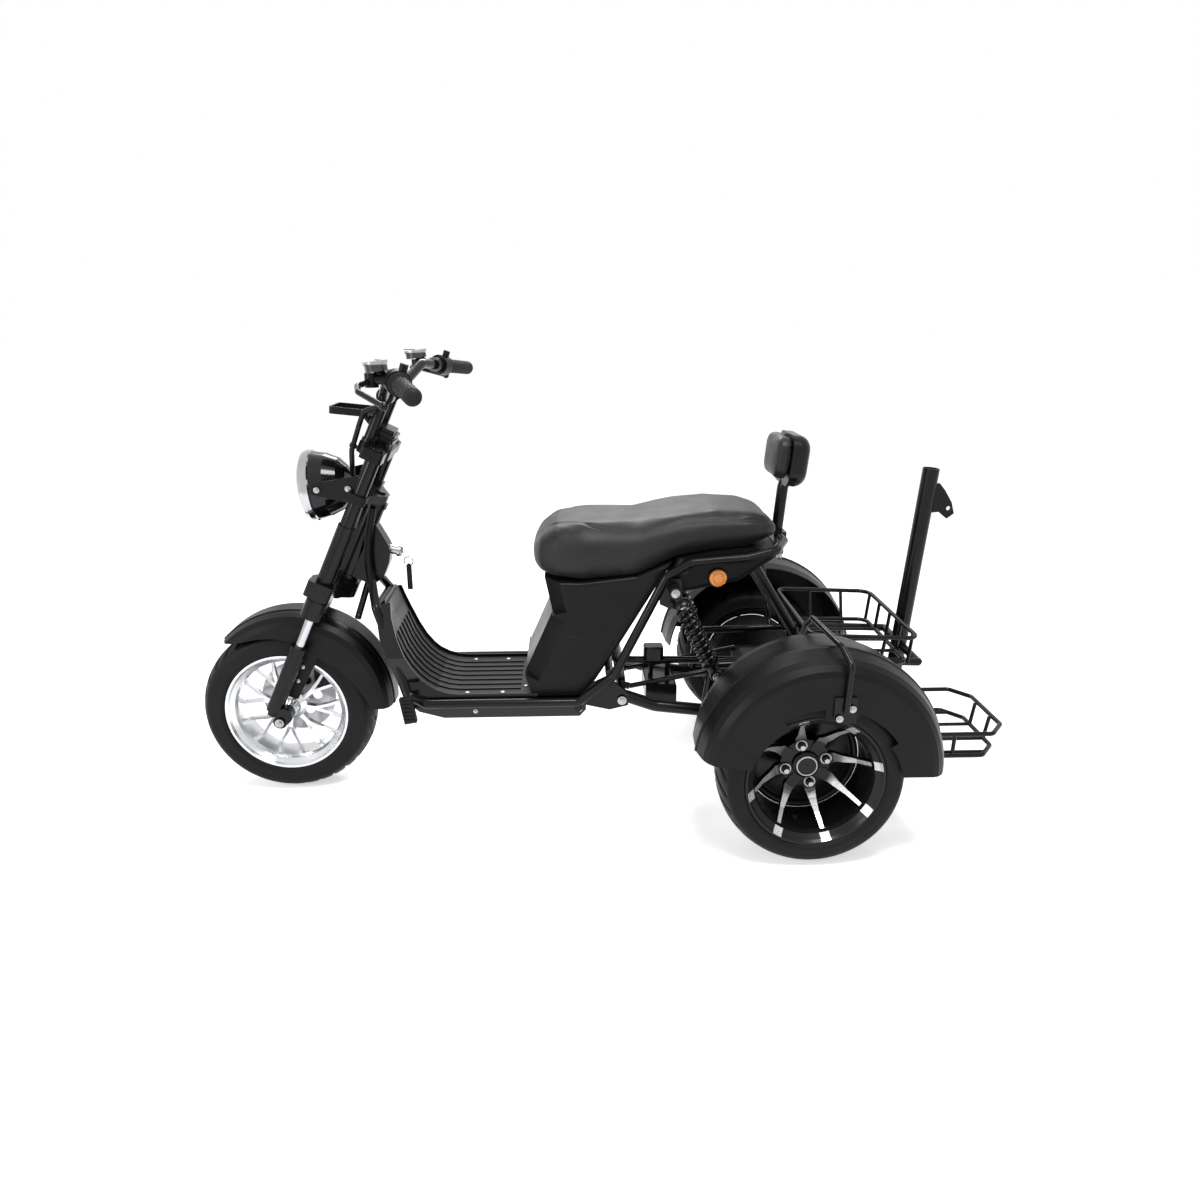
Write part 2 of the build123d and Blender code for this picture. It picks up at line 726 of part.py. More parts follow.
# The loom's sleeve down the left of the head, and its two ties
SLEEVE_Y = 34.0
sleeve_rows = [
    fork_point(124, SLEEVE_Y, -30),
    fork_point(190, SLEEVE_Y + 4, -44),
    fork_point(250, SLEEVE_Y + 2, -66),
    fork_point(330, SLEEVE_Y + 8, -118),
]
sleeve = pipe(sleeve_rows, 6.5, 40)
tie = rod(fork_point(150, 10, -34), fork_point(150, SLEEVE_Y - 2, -34), 6)
bore_cut = rod(stem_point(60), stem_point(400), STEM_R + RUN)
frame_bars = rails + crosses + pivot_plates + shock_plates
frame = less(join([head, gusset, stop_bar, sleeve, tie] + head_rings + frame_bars), bore_cut)
nodes["frame"] = frame

# Floorboard and belly pan from one side profile, narrowed towards the neck
FLOOR_LINE = [
    # x, z of the board's top face, from the tip to the seat box
    (890, 470),
    (886, 440),
    (875, 400),
    (859, 357),
    (843, 328),
    (826, 306),
    (809, 290),
    (788, 277),
    (764, FLOOR_Z + 3),
    (740, FLOOR_Z),
    (560, FLOOR_Z),
]
board_low = []
for i, (x, z) in enumerate(FLOOR_LINE):
    x0, z0 = FLOOR_LINE[max(i - 1, 0)]
    x1, z1 = FLOOR_LINE[min(i + 1, len(FLOOR_LINE) - 1)]
    n = math.hypot(x1 - x0, z1 - z0)
    # The outward side is below and ahead of the board.
    board_low.append((x - (z1 - z0) / n * BOARD_T, z + (x1 - x0) / n * BOARD_T))


def front_view(inset):
    # What lies inside the pan's sides, seen from the front: half width and height.
    rows = [
        (PAN_HALF, PAN_BOTTOM_Z - 20),
        (PAN_HALF, FLOOR_Z - 2),
        (PAN_HALF - 9, FLOOR_Z + 34),
        (PAN_HALF - 9, FLOOR_Z + 91),
        (PAN_HALF - 18, FLOOR_Z + 134),
        (PAN_HALF - 36, FLOOR_Z + 176),
        (PAN_HALF - 56, FLOOR_Z + 204),
        (PAN_HALF - 84, FLOOR_Z + 218),
    ]
    outline = [(h - inset, z) for h, z in rows]
    outline += [(-h, z) for h, z in outline[::-1]]
    plane = Plane(origin=(400, 0, 0), x_dir=(0, 1, 0), z_dir=(1, 0, 0))
    return extrude(plane * make_face(Polyline(*outline, close=True)), amount=560)


inside = front_view(BOARD_LIP)
board = side_plate(FLOOR_LINE + board_low[::-1], -PAN_HALF, PAN_HALF) & inside
# Raised ribs along the board: first and last row of the floor line that each one follows
rib_line = FLOOR_LINE[2:]
rib_low = board_low[2:]
RIB_H = 2.5
ribs = []
for y in (-84, -56, -28, 0, 28, 56, 84):
    raised = [(x + (x - a) / BOARD_T * RIB_H, z + (z - b) / BOARD_T * RIB_H) for (x, z), (a, b) in zip(rib_line, rib_low)]
    raised[-1] = (600, FLOOR_Z + RIB_H)
    base = rib_line[:-1] + [(600, FLOOR_Z)]
    ribs.append(side_plate(raised + base[::-1], y - 3, y + 3))
nodes["floorboard"] = join([board] + ribs)

pan_low = [
    (560, 258),
    (452, 258),
    (452, 232),
    (466, PAN_BOTTOM_Z),
    (770, PAN_BOTTOM_Z),
    (826, 232),
    (858, 262),
    (884, 336),
    (906, 400),
    (916, 462),
]
pan = side_plate(pan_low + [(898, 476)] + board_low, -PAN_HALF, PAN_HALF)
lip_top = [(x + (x - a) / BOARD_T * 6, z + (z - b) / BOARD_T * 6) for (x, z), (a, b) in zip(FLOOR_LINE, board_low)]
lip = less(side_plate(lip_top + board_low[::-1], -PAN_HALF, PAN_HALF), inside)
pan = less((pan + lip) & front_view(0), nodes["floorboard"], frame)
nodes["belly_pan"] = max(pan.solids(), key=lambda q: q.volume)

# Footpegs, folded up beside the pan: a stay, a hinge block and a ribbed pad
PEG = (842.0, 172.0, 256.0)
pegs = []
for s in (1, -1):
    stay = rod((850, s * 112, 266), (PEG[0] + 4, s * (PEG[1] - 4), 266), 6)
    pad = Pos(PEG[0], s * PEG[1], PEG[2]) * Rot(0, 9, 0) * Box(27, 14, 60)
    pegs.append(less(join([stay, pad]), frame, nodes["belly_pan"]))
nodes["footpegs"] = Compound(children=[max(p.solids(), key=lambda q: q.volume) for p in pegs])

# The line that the seat's underside follows: x, z
SEAT_LINE = [
    (570, 553),
    (556, 539),
    (520, 530),
    (460, 528),
    (340, 541),
    (250, 580),
    (170, 594),
    (90, 600),
    (44, 612),
    (26, 618),
]


def seat_under(x):
    rows = SEAT_LINE[::-1]
    for (x0, z0), (x1, z1) in zip(rows, rows[1:]):
        if x0 <= x <= x1:
            return z0 + (z1 - z0) * (x - x0) / (x1 - x0)
    return rows[0][1]


# Seat box
BOX_HALF = 128.0
box_outline = [
    (540, seat_under(540) - GAP - 0.4),
    (524, 455),
    (587, 315),
    (572, FLOOR_Z),
    (452, FLOOR_Z),
    (372, 392),
    (290, 528),
    (262, seat_under(262) - GAP - 1.5),
    (340, seat_under(340) - GAP),
    (460, seat_under(460) - GAP),
    (520, seat_under(520) - GAP),
]
seat_box = side_plate(box_outline, -BOX_HALF, BOX_HALF)
# The folded front corners: cut back along the nose's bend
for s in (1, -1):
    for (x0, z0), (x1, z1), deep in (((546, 560), (524, 455), 34), ((524, 455), (587, 315), 34)):
        n = math.hypot(x1 - x0, z1 - z0)
        back = v((z1 - z0) / n, 0, -(x1 - x0) / n) * deep
        corners = [
            v(x0, s * (BOX_HALF - 34), z0),
            v(x1, s * (BOX_HALF - 34), z1),
        ]
        ahead = back * -1
        wedge_plane = Plane(origin=corners[0], x_dir=back, z_dir=corners[1] - corners[0])
        local = [wedge_plane.to_local_coords(p) for p in (
            corners[0] + ahead * 0.02,
            corners[0] + ahead,
            corners[0] + ahead + v(0, s * 60, 0),
            corners[0] + back + v(0, s * 60, 0),
            corners[0] + back + v(0, s * 34, 0),
        )]
        flat = make_face(Polyline(*[(p.X, p.Y) for p in local], close=True))
        seat_box = seat_box - extrude(wedge_plane * flat, amount=n)
side_edges = [e for e in seat_box.edges() if abs(e.center().Y) > BOX_HALF - 1 and e.center().X < 500]
seat_box = fillet(side_edges, 8)
seat_box = less(seat_box, frame, nodes["floorboard"], nodes["belly_pan"])
nodes["seat_box"] = max(seat_box.solids(), key=lambda q: q.volume)

# Tail panel between the rails
tail_outline = [
    (270, 545),
    (250, seat_under(250) - GAP),
    (170, seat_under(170) - GAP),
    (90, seat_under(90) - GAP),
    (36, 600),
    (48, 574),
    (120, 528),
    (262, 500),
]
tail = side_plate(tail_outline, -134, 134)
tail_edges = [e for e in tail.edges() if abs(e.center().Y) > 133 and e.center().Z < 575]
tail = fillet(tail_edges, 12)
nodes["tail_panel"] = less(tail, frame, nodes["seat_box"])

# Seat cushion: sections across the trike, from nose to tail
SEAT_ROWS = [
    # x, top z, half width, corner radius
    (570, 594, 74, 18),
    (556, 620, 108, 34),
    (520, 643, 134, 48),
    (460, 653, 146, 56),
    (340, 654, 149, 55),
    (250, 669, 146, 43),
    (170, 677, 141, 40),
    (90, 673, 132, 35),
    (44, 660, 116, 23),
    (26, 645, 96, 13),
]
sections = []
for x, z1, h, r in SEAT_ROWS:
    z0 = seat_under(x)
    plane = Plane(origin=(x, 0, (z0 + z1) / 2), x_dir=(0, 1, 0), z_dir=(1, 0, 0))
    r = min(r, (z1 - z0) / 2 - 1)
    sections.append(plane * RectangleRounded(2 * h, z1 - z0, r))
nodes["seat_cushion"] = loft(sections, ruled=True)

# Bag post line, and what the carriage and racks leave free for it
POST_R = 18.5
POST_BORE = 16.0
post_low = v(-279.0, 0, 128)
post_top = v(-330.0, 0, 750)
post_dir = (post_top - post_low).normalized()
post_room = rod(post_low, post_top, POST_R)

# Rear carriage: two long lower members, a spine above them, and stays up to the tail
ARM_Y = 118.0
ARM_R = 14.0
SPINE_Z = 300.0
ARM_END = 82.0
rear_tubes = []
for s in (1, -1):
    y = s * ARM_Y
    lower = [(PIVOT[0], y, PIVOT[1]), (296, y, 234), (190, y, 221), (-60, y, 220)]
    rear_tubes.append(pipe(lower, ARM_R, 60))
    rear_tubes.append(rod((PIVOT[0], y, SPINE_Z), (PIVOT[0], y, PIVOT[1]), 9.0))
    rear_tubes.append(rod((SHOCK_LOW[0] + 14, y, 226), (SHOCK_LOW[0], y, SHOCK_LOW[2]), 9.0))
    rear_tubes.append(rod((SHOCK_LOW[0], y, SHOCK_LOW[2]), (-60, y, 336), 9.0))
    rear_tubes.append(rod((84, y, 560), (-52, y, 338), 11.0))
    rear_tubes.append(rod((-60, y, 340), (-60, y, 220), 9.0))
    rear_tubes.append(rod((-60, y, 340), (-300, y, 330), 9.0))
    rear_tubes.append(rod((-60, y, 222), (-300, y, 160), 9.0))
    stub = s * (SHOCK_LOW[1] + SHOCK_EYE + 4)
    rear_tubes.append(rod((SHOCK_LOW[0], y, SHOCK_LOW[2]), (SHOCK_LOW[0], stub, SHOCK_LOW[2]), 7.0))
rear_tubes.append(rod((PIVOT[0], 0, SPINE_Z), (60, 0, SPINE_Z - 5), 9.0))
rear_tubes.append(rod((PIVOT[0], -PIVOT_Y, PIVOT[1]), (PIVOT[0], PIVOT_Y, PIVOT[1]), PIVOT_R))
cross_places = [
    (PIVOT[0], SPINE_Z),
    (SHOCK_LOW[0], SHOCK_LOW[2]),
    (-60, 340),
    (-60, 220),
    (-300, 330),
    (-300, 160),
]
for x, z in cross_places:
    rear_tubes.append(rod((x, -ARM_Y, z), (x, ARM_Y, z), 9.0))
# Torque rods from the pivot to the motor, and the bump stop on the spine
for s in (1, -1):
    rear_tubes.append(rod((350, s * 56, PIVOT[1] - 6), (86, s * 56, 306), 6.0))
    rear_tubes.append(rod((350, s * 56, PIVOT[1] - 6), (PIVOT[0], s * 56, PIVOT[1]), 8.0))
bump = extrude(Plane(origin=(290, 0, SPINE_Z + 4)) * RectangleRounded(46, 40, 8), amount=32)
bump = fillet(bump.faces().sort_by(Axis.Z)[-1].edges(), 5)
rear_tubes.append(bump)
# Controller box hung below the spine
box_room = block(240, 312, -64, 64, 216, 262)
box_hung = fillet(box_room.edges().filter_by(Axis.Y), 6)
hangers = [rod((x, 0, 250), (x, 0, SPINE_Z), 6) for x in (256, 296)]
rear_tubes += [box_hung] + hangers
carriage = less(join(rear_tubes), frame, nodes["seat_box"], nodes["tail_panel"], post_room)
nodes["rear_carriage"] = max(carriage.solids(), key=lambda q: q.volume)

# Live axle with its hangers, and the motor around its middle
AXLE_R = 26.0
axle = join(
    [
        rod((0, -HUB_Y + 50, REAR_R), (0, HUB_Y - 50, REAR_R), AXLE_R),
        rod((0, -HUB_Y + 7, REAR_R), (0, HUB_Y - 7, REAR_R), SPINDLE_R),
    ]
)
hangers = [
    side_plate([(-36, 168), (36, 168), (30, 238), (-30, 238)], s * ARM_Y - 5, s * ARM_Y + 5) for s in (1, -1)
]
motor = block(-88, 88, -92, 92, 118, 300)
motor_edges = [e for e in motor.edges() if abs(e.center().Y) < 1]
motor = chamfer(motor_edges, 16)
motor = less(motor, rod((0, -300, REAR_R), (0, 300, REAR_R), AXLE_R), carriage)
nodes["drive_motor"] = max(motor.solids(), key=lambda q: q.volume)
axle = less(join([axle] + hangers), nodes["rear_carriage"])
nodes["axle_beam"] = max(axle.solids(), key=lambda q: q.volume)

# Shock absorbers: a turned body with the coil's rings on it
COIL_R = 21.0
COIL_COUNT = 9
shocks = []
for s in (1, -1):
    a = Vector(SHOCK_TOP[0], s * SHOCK_TOP[1], SHOCK_TOP[2])
    b = Vector(SHOCK_LOW[0], s * SHOCK_LOW[1], SHOCK_LOW[2])
    u = (a - b).normalized()
    length = (a - b).length
    # radius, distance up from the lower eye
    pts = [(0, 10), (12, 10), (12, 24), (COIL_R, 26), (COIL_R, 30)]
    pitch = (length - 78) / COIL_COUNT
    for i in range(COIL_COUNT):
        z0 = 32 + i * pitch
        pts += [(13, z0), (COIL_R, z0 + pitch * 0.3), (COIL_R, z0 + pitch * 0.6), (13, z0 + pitch * 0.9)]
    top = 32 + COIL_COUNT * pitch
    pts += [(COIL_R, top + 2), (COIL_R, top + 8), (11, top + 12), (11, length - 10), (0, length - 10)]
    plane = Plane(origin=b, x_dir=u, z_dir=v(0, 1, 0))
    body = revolve(plane * make_face(Polyline(*[(d, r) for r, d in pts], close=True)), axis=Axis(b, u))
    eyes = [rod(p - v(0, 14, 0), p + v(0, 14, 0), SHOCK_EYE) for p in (a, b)]
    shock = less(join([body] + eyes), frame, nodes["rear_carriage"], nodes["tail_panel"])
    shocks.append(max(shock.solids(), key=lambda q: q.volume))
nodes["shocks"] = Compound(children=shocks)

# Rear fenders: skirt, round shoulder, creased crown, inner edge
FENDER_X = -16.0
FENDER_Z = REAR_R + 17.0
CROWN_R = REAR_R + 61.0
SKIRT_Y = 424.0
FENDER_FROM = 7.5
FENDER_TO = 180.5


def rear_fender(s):
    # below the crown's radius, inside the skirt's plane
    profile = [
        (132, 0),
        (38, 0),
        (27, 3),
        (16, 12),
        (8, 26),
        (3, 46),
        (0, 60),
        (-3, 64),
        (-3, 70),
        (0, 74),
        (1, 100),
        (3, 140),
        (10, 172),
    ]
    outer = [(CROWN_R - d, SKIRT_Y - i) for d, i in profile]
    inner = [(CROWN_R - d - FENDER_T * min(1, i / 30), SKIRT_Y - max(i, FENDER_T)) for d, i in profile]
    pts = [(r, s * y) for r, y in outer + inner[::-1]]
    shell = sector(pts, FENDER_X, FENDER_Z, FENDER_FROM, FENDER_TO)
    y0, y1 = sorted((s * (SKIRT_Y - 14), s * (SKIRT_Y + 5)))
    # The wheel's opening, and the two arc slots over it, each between two angles
    opening = disc_y(REAR_R - 34, y0, y1, FENDER_X, REAR_R - 15)
    shell = shell - opening
    slot = REAR_R - 44
    for start, stop, r_in, r_out in ((58, 86, slot, slot + 20), (110, 146, slot - 1, slot + 19)):
        steps = [start + (stop - start) * i / 6 for i in range(7)]
        outline = []
        for r, angles in ((r_out, steps), (r_in, steps[::-1])):
            for k in angles:
                a = math.radians(k)
                outline.append((FENDER_X + r * math.cos(a), REAR_R - 3 + r * math.sin(a)))
        shell = shell - side_plate(outline, y0, y1)
    return shell


for s, name in ((1, "left"), (-1, "right")):
    nodes["rear_fender_" + name] = rear_fender(s)

# Fender braces from the carriage over each fender to its skirt
braces = []
for s in (1, -1):
    top = FENDER_Z + CROWN_R
    pts = [
        (-12, s * ARM_Y, 330),
        (-10, s * 222, top + 2),
        (-12, s * 258, top + 26),
        (-34, s * 396, top + 16),
        (-46, s * (SKIRT_Y + 10), top - 12),
        (-42, s * (SKIRT_Y + 10), top - 108),
    ]
    bar_ = pipe(pts, 6.0, 16)
    y0, y1 = sorted((s * SKIRT_Y, s * (SKIRT_Y + 5)))
    b0, b1 = sorted((s * (SKIRT_Y + 5), s * (SKIRT_Y + 9)))
    low = top - 132
    plate = [(-20, low + 54), (-20, low + 12), (-32, low), (-64, low), (-64, low + 54)]
    bolts = [disc_y(5, b0, b1, x, z) for x, z in ((-30, low + 12), (-54, low + 32))]
    brace = join([bar_, side_plate(plate, y0, y1)] + bolts)
    brace = less(brace, nodes["rear_fender_left"], nodes["rear_fender_right"], nodes["rear_carriage"])
    braces.append(max(brace.solids(), key=lambda q: q.volume))
nodes["fender_braces"] = Compound(children=braces)

# Upper carrier
WIRE = 5.0
carrier = []
CARRIER_X0 = -36.0
CARRIER_X1 = -272.0
CARRIER_Y = 176.0
CARRIER_Z = 412.0
carrier.append(
    loop(
        [
            (CARRIER_X0, -CARRIER_Y, CARRIER_Z + 6),
            (CARRIER_X0, CARRIER_Y, CARRIER_Z + 6),
            (CARRIER_X1, CARRIER_Y, CARRIER_Z - 4),
            (CARRIER_X1, -CARRIER_Y, CARRIER_Z - 4),
        ],
        WIRE,
        28,
    )
)
carrier.append(
    loop(
        [
            (-80, -150, 346),
            (-80, 150, 346),
            (-262, 150, 342),
            (-262, -150, 342),
        ],
        WIRE,
        24,
    )
)
for y in (-150, -75, 0, 75, 150):
    carrier.append(rod((-268, y * 1.0, 408), (-262, y * 1.0, 342), 4.0))
    carrier.append(rod((-38, y * 1.0, 417), (-80, y * 1.0, 346), 4.0))
for y in (-75, 0, 75):
    carrier.append(rod((-80, y, 345), (-262, y, 342), 4.0))
for x in (-120, -200):
    for s in (1, -1):
        carrier.append(rod((x, s * 174, 410), (x, s * 150, 344), 4.0))
nodes["upper_carrier"] = less(
    join(carrier),
    nodes["rear_carriage"],
    nodes["rear_fender_left"],
    nodes["rear_fender_right"],
    post_room,
)

# Lower bag rack
rack = []
RACK_Y = 131.0
for x0, x1, z, h in ((-300, -528, 154, RACK_Y), (-300, -512, 98, RACK_Y - 4)):
    pts = [(x0, h, z), (x1 + 40, h, z), (x1, h - 50, z), (x1, -h + 50, z), (x1 + 40, -h, z), (x0, -h, z)]
    rack.append(pipe(pts, 5.5, 16))
for y in (-110, -40, 40, 110):
    rack.append(rod((-300, y * 1.0, 98), (-508 if abs(y) < 90 else -486, y * 1.0, 98), 4.5))
for x, y in ((-520, 40), (-520, -40), (-400, 130), (-400, -130)):
    rack.append(rod((x, y, 154), (x + 8 if abs(y) < 90 else x, y * 0.97, 98), 4.5))
for s in (1, -1):
    rack.append(rod((-300, s * 128, 160), (-300, s * 128, 96), 6.0))
rack.append(rod((-300, -131, 154), (-300, 131, 154), 5.5))
rack.append(rod((-300, -131, 98), (-300, 131, 98), 5.5))
nodes["lower_rack"] = less(join(rack), nodes["rear_carriage"], post_room)

# Bag post with its hook plate
post = rod(post_low, post_top, POST_R, POST_BORE)
plug = rod(post_low, post_low + post_dir * 12, POST_BORE)
plate = side_plate(
    [(-338, 712), (-352, 716), (-366, 700), (-384, 672), (-392, 646), (-376, 634), (-356, 650), (-336, 648)],
    -3,
    3,
)
HOOK_HOLE = (-378, 658, 5.0)
hook_hole = disc_y(HOOK_HOLE[2], -5, 5, HOOK_HOLE[0], HOOK_HOLE[1])
bag_post = less(join([post, plug, plate]), rod(post_low + post_dir * 12, post_top + post_dir, POST_BORE), hook_hole)
bag_post = less(bag_post, nodes["upper_carrier"], nodes["lower_rack"], nodes["rear_carriage"])
nodes["bag_post"] = max(bag_post.solids(), key=lambda q: q.volume)

# Backrest: a moulded shell on one bent post, with a thinner pad in front
BACK_FOOT = (13.0, 597.0)
back_post = pipe([(BACK_FOOT[0], 0, BACK_FOOT[1]), (4, 0, 712), (-16, 0, 768)], 12.5, 60)
back_foot = block(BACK_FOOT[0] - 16, BACK_FOOT[0] + 12, -34, 34, 588, 614)
shell_plane = Plane(origin=(BACK_SEAM_X, 0, 776), x_dir=(0, 1, 0), z_dir=(-1, 0, -0.1))
back_shell = extrude(shell_plane * RectangleRounded(2 * BACK_HALF, 112, 34), amount=42)
rear_edges = [e for e in back_shell.edges() if e.center().X < BACK_SEAM_X - 36]
back_shell = fillet(rear_edges, 26)
backrest = less(join([back_post, back_shell, back_foot]), frame, nodes["tail_panel"], nodes["seat_cushion"])
nodes["backrest_frame"] = max(backrest.solids(), key=lambda q: q.volume)
pad_plane = Plane(origin=(BACK_SEAM_X + GAP, 0, 781), x_dir=(0, 1, 0), z_dir=(1, 0, 0.1))
back_pad = extrude(pad_plane * RectangleRounded(2 * BACK_HALF - 8, 96, 30), amount=32)
pad_edges = [e for e in back_pad.edges() if e.center().X > BACK_SEAM_X + 24]
nodes["backrest_pad"] = less(fillet(pad_edges, 14), nodes["backrest_frame"])

# Reflectors, tail lamp, ignition lock
reflectors = []
for s in (1, -1):
    base = disc_y(20, 133, 146, 166, 540)
    if s < 0:
        base = mirror(base, about=Plane.XZ)
    reflectors.append(less(base, frame, nodes["tail_panel"]).solid())
nodes["side_reflectors"] = Compound(children=reflectors)
lamp_block = block(4, 30, -44, 44, 566, 588)
nodes["tail_lamp"] = less(lamp_block, frame, nodes["backrest_frame"], nodes["tail_panel"])
lock_from = fork_point(206, 0, -86)
lock_to = fork_point(200, 0, -118)
lock_body = join([rod(lock_from, lock_to, 10), rod(fork_point(201, 0, -112), lock_to, 13)])
nodes["ignition_lock"] = less(lock_body, frame)


# Assembly: centre the box on the origin and write the files


def box_of(shapes):
    boxes = [s.bounding_box() for s in shapes]
    lo = [min(getattr(b.min, k) for b in boxes) for k in "XYZ"]
    hi = [max(getattr(b.max, k) for b in boxes) for k in "XYZ"]
    return lo, hi


lo, hi = box_of(nodes.values())
shift = Pos(-(lo[0] + hi[0]) / 2, -(lo[1] + hi[1]) / 2, -lo[2])
print("box", [round(a) for a in lo], [round(a) for a in hi])
print("shift", -(lo[0] + hi[0]) / 2, -(lo[1] + hi[1]) / 2, -lo[2])
for name, shape in nodes.items():
    moved = shift * shape
    export_step(moved, "parts/" + name + ".step")
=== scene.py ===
# Looks of the electric golf trike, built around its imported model. Blender 4.5, metres.
import json
import math

import bmesh
import bpy
from mathutils import Matrix, Vector
from mathutils.geometry import interpolate_bezier, intersect_point_line


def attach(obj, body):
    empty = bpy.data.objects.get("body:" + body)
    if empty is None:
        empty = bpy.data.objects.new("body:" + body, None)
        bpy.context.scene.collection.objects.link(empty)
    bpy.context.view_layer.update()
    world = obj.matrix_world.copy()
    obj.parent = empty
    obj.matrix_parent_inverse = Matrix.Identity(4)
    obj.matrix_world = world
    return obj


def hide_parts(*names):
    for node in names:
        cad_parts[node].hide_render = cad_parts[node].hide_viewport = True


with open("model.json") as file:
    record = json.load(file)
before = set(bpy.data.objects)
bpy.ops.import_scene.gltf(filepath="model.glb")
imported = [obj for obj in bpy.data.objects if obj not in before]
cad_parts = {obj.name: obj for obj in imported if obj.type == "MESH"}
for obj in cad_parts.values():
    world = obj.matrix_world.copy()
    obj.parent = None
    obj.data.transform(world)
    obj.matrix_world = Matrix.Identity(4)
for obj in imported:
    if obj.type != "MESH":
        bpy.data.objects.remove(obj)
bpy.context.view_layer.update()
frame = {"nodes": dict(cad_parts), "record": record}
nodes = frame["nodes"]

# Sizes that are shared with the solids, in millimetres from the ground under the rear axle
SHIFT_X = -406.25
WHEELBASE = 1147.0
FRONT_R = 199.0
REAR_R = 191.0
FRONT_HALF = 55.0
REAR_HALF = 70.0
TRACK_HALF = 345.0
HUB_Y = TRACK_HALF - 17.0
LUG_R = 43.0
LUG_TURN = -14.7
BLADES = 8
BLADE_TURN = 13.4
RAKE = math.radians(25.2)
FORK_TOP = (889.0, 802.0)
FORK_Y = 88.0
SHOCK_TOP = (262.0, 176.0, 520.0)
SHOCK_LOW = (168.0, 176.0, 330.0)

UP = Vector((-math.sin(RAKE), 0.0, math.cos(RAKE)))
AHEAD = Vector((math.cos(RAKE), 0.0, math.sin(RAKE)))
LEFT = Vector((0.0, 1.0, 0.0))
TOP = Vector((0.0, 0.0, 1.0))
FULL = 2 * math.pi
SIDES = ((1, "left"), (-1, "right"))


def at(x, y, z):
    """A station in millimetres, as a point in the row frame in metres."""
    return Vector(((x + SHIFT_X) / 1000.0, y / 1000.0, z / 1000.0))


def fork_point(down, y=0.0, ahead=0.0):
    """A station so far down the fork from its top, and ahead of the leg's centre line."""
    return Vector((FORK_TOP[0], y, FORK_TOP[1])) - UP * down + AHEAD * ahead


# Shader maths


class Value:
    """A socket of one finish. Sums, products and comparisons of it add Math nodes."""

    def __init__(self, finish, socket):
        self.finish = finish
        self.socket = socket

    def maths(self, operation, a, b=None):
        values = {0: a} if b is None else {0: a, 1: b}
        return self.finish.add("ShaderNodeMath", {"operation": operation}, values)

    def __add__(self, other):
        return self.maths("ADD", self, other)

    def __sub__(self, other):
        return self.maths("SUBTRACT", self, other)

    def __rsub__(self, other):
        return self.maths("SUBTRACT", other, self)

    def __mul__(self, other):
        return self.maths("MULTIPLY", self, other)

    def __pow__(self, other):
        return self.maths("POWER", self, other)

    def __gt__(self, other):
        return self.maths("GREATER_THAN", self, other)

    def __lt__(self, other):
        return self.maths("LESS_THAN", self, other)

    def __abs__(self):
        return self.maths("ABSOLUTE", self)

    __radd__ = __add__
    __rmul__ = __mul__


class Finish:
    """One material, made of nodes that `add` places and links."""

    def __init__(self, name, base, **constants):
        self.material = bpy.data.materials.new(name)
        self.material.use_nodes = True
        self.tree = self.material.node_tree
        self.surface = self.tree.nodes["Principled BSDF"]
        self.surface.inputs["Base Color"].default_value = (*base, 1.0)
        for key, value in constants.items():
            self.surface.inputs[key.replace("_", " ")].default_value = value
        self.place = self.add("ShaderNodeTexCoord", output="Object")
        self.normal = self.add("ShaderNodeTexCoord", output="Normal")

    def add(self, kind, settings=None, inputs=None, output=0):
        """A node of a kind: its settings first, then the values or links of its sockets."""
        node = self.tree.nodes.new(kind)
        for key, value in (settings or {}).items():
            setattr(node, key, value)
        for key, value in (inputs or {}).items():
            if isinstance(value, Value):
                self.tree.links.new(value.socket, node.inputs[key])
            else:
                node.inputs[key].default_value = value
        return Value(self, node.outputs[output])

    def feed(self, socket, value):
        self.tree.links.new(value.socket, self.surface.inputs[socket])

    def stretched(self, stretch):
        return self.add("ShaderNodeMapping", inputs={"Vector": self.place, "Scale": stretch})

    def noise(self, scale, detail=4.0, rough=0.5, stretch=None):
        place = self.stretched(stretch) if stretch else self.place
        sockets = {"Vector": place, "Scale": scale, "Detail": detail, "Roughness": rough}
        return self.add("ShaderNodeTexNoise", inputs=sockets, output="Fac")

    def cells(self, scale, feature="F1"):
        sockets = {"Vector": self.place, "Scale": scale}
        return self.add("ShaderNodeTexVoronoi", {"feature": feature}, sockets, "Distance")

    def spread(self, value, low, high, to_low, to_high):
        sockets = {
            "Value": value,
            "From Min": low,
            "From Max": high,
            "To Min": to_low,
            "To Max": to_high,
        }
        return self.add("ShaderNodeMapRange", inputs=sockets, output="Result")

    def blend(self, share, a, b):
        a, b = [c if isinstance(c, Value) else (*c, 1.0) for c in (a, b)]
        return self.add("ShaderNodeMix", {"data_type": "RGBA"}, {0: share, 6: a, 7: b}, 2)

    def bump(self, *layers):
        """Bump from (height, distance in metres) layers, one on top of the other."""
        normal = None
        for height, distance in layers:
            sockets = {"Height": height, "Distance": distance}
            if normal:
                sockets["Normal"] = normal
            normal = self.add("ShaderNodeBump", inputs=sockets, output="Normal")
        self.feed("Normal", normal)

    def along(self, vector):
        """The three parts of a vector."""
        return [
            self.add("ShaderNodeSeparateXYZ", inputs={"Vector": vector}, output=k) for k in "XYZ"
        ]


# Finishes


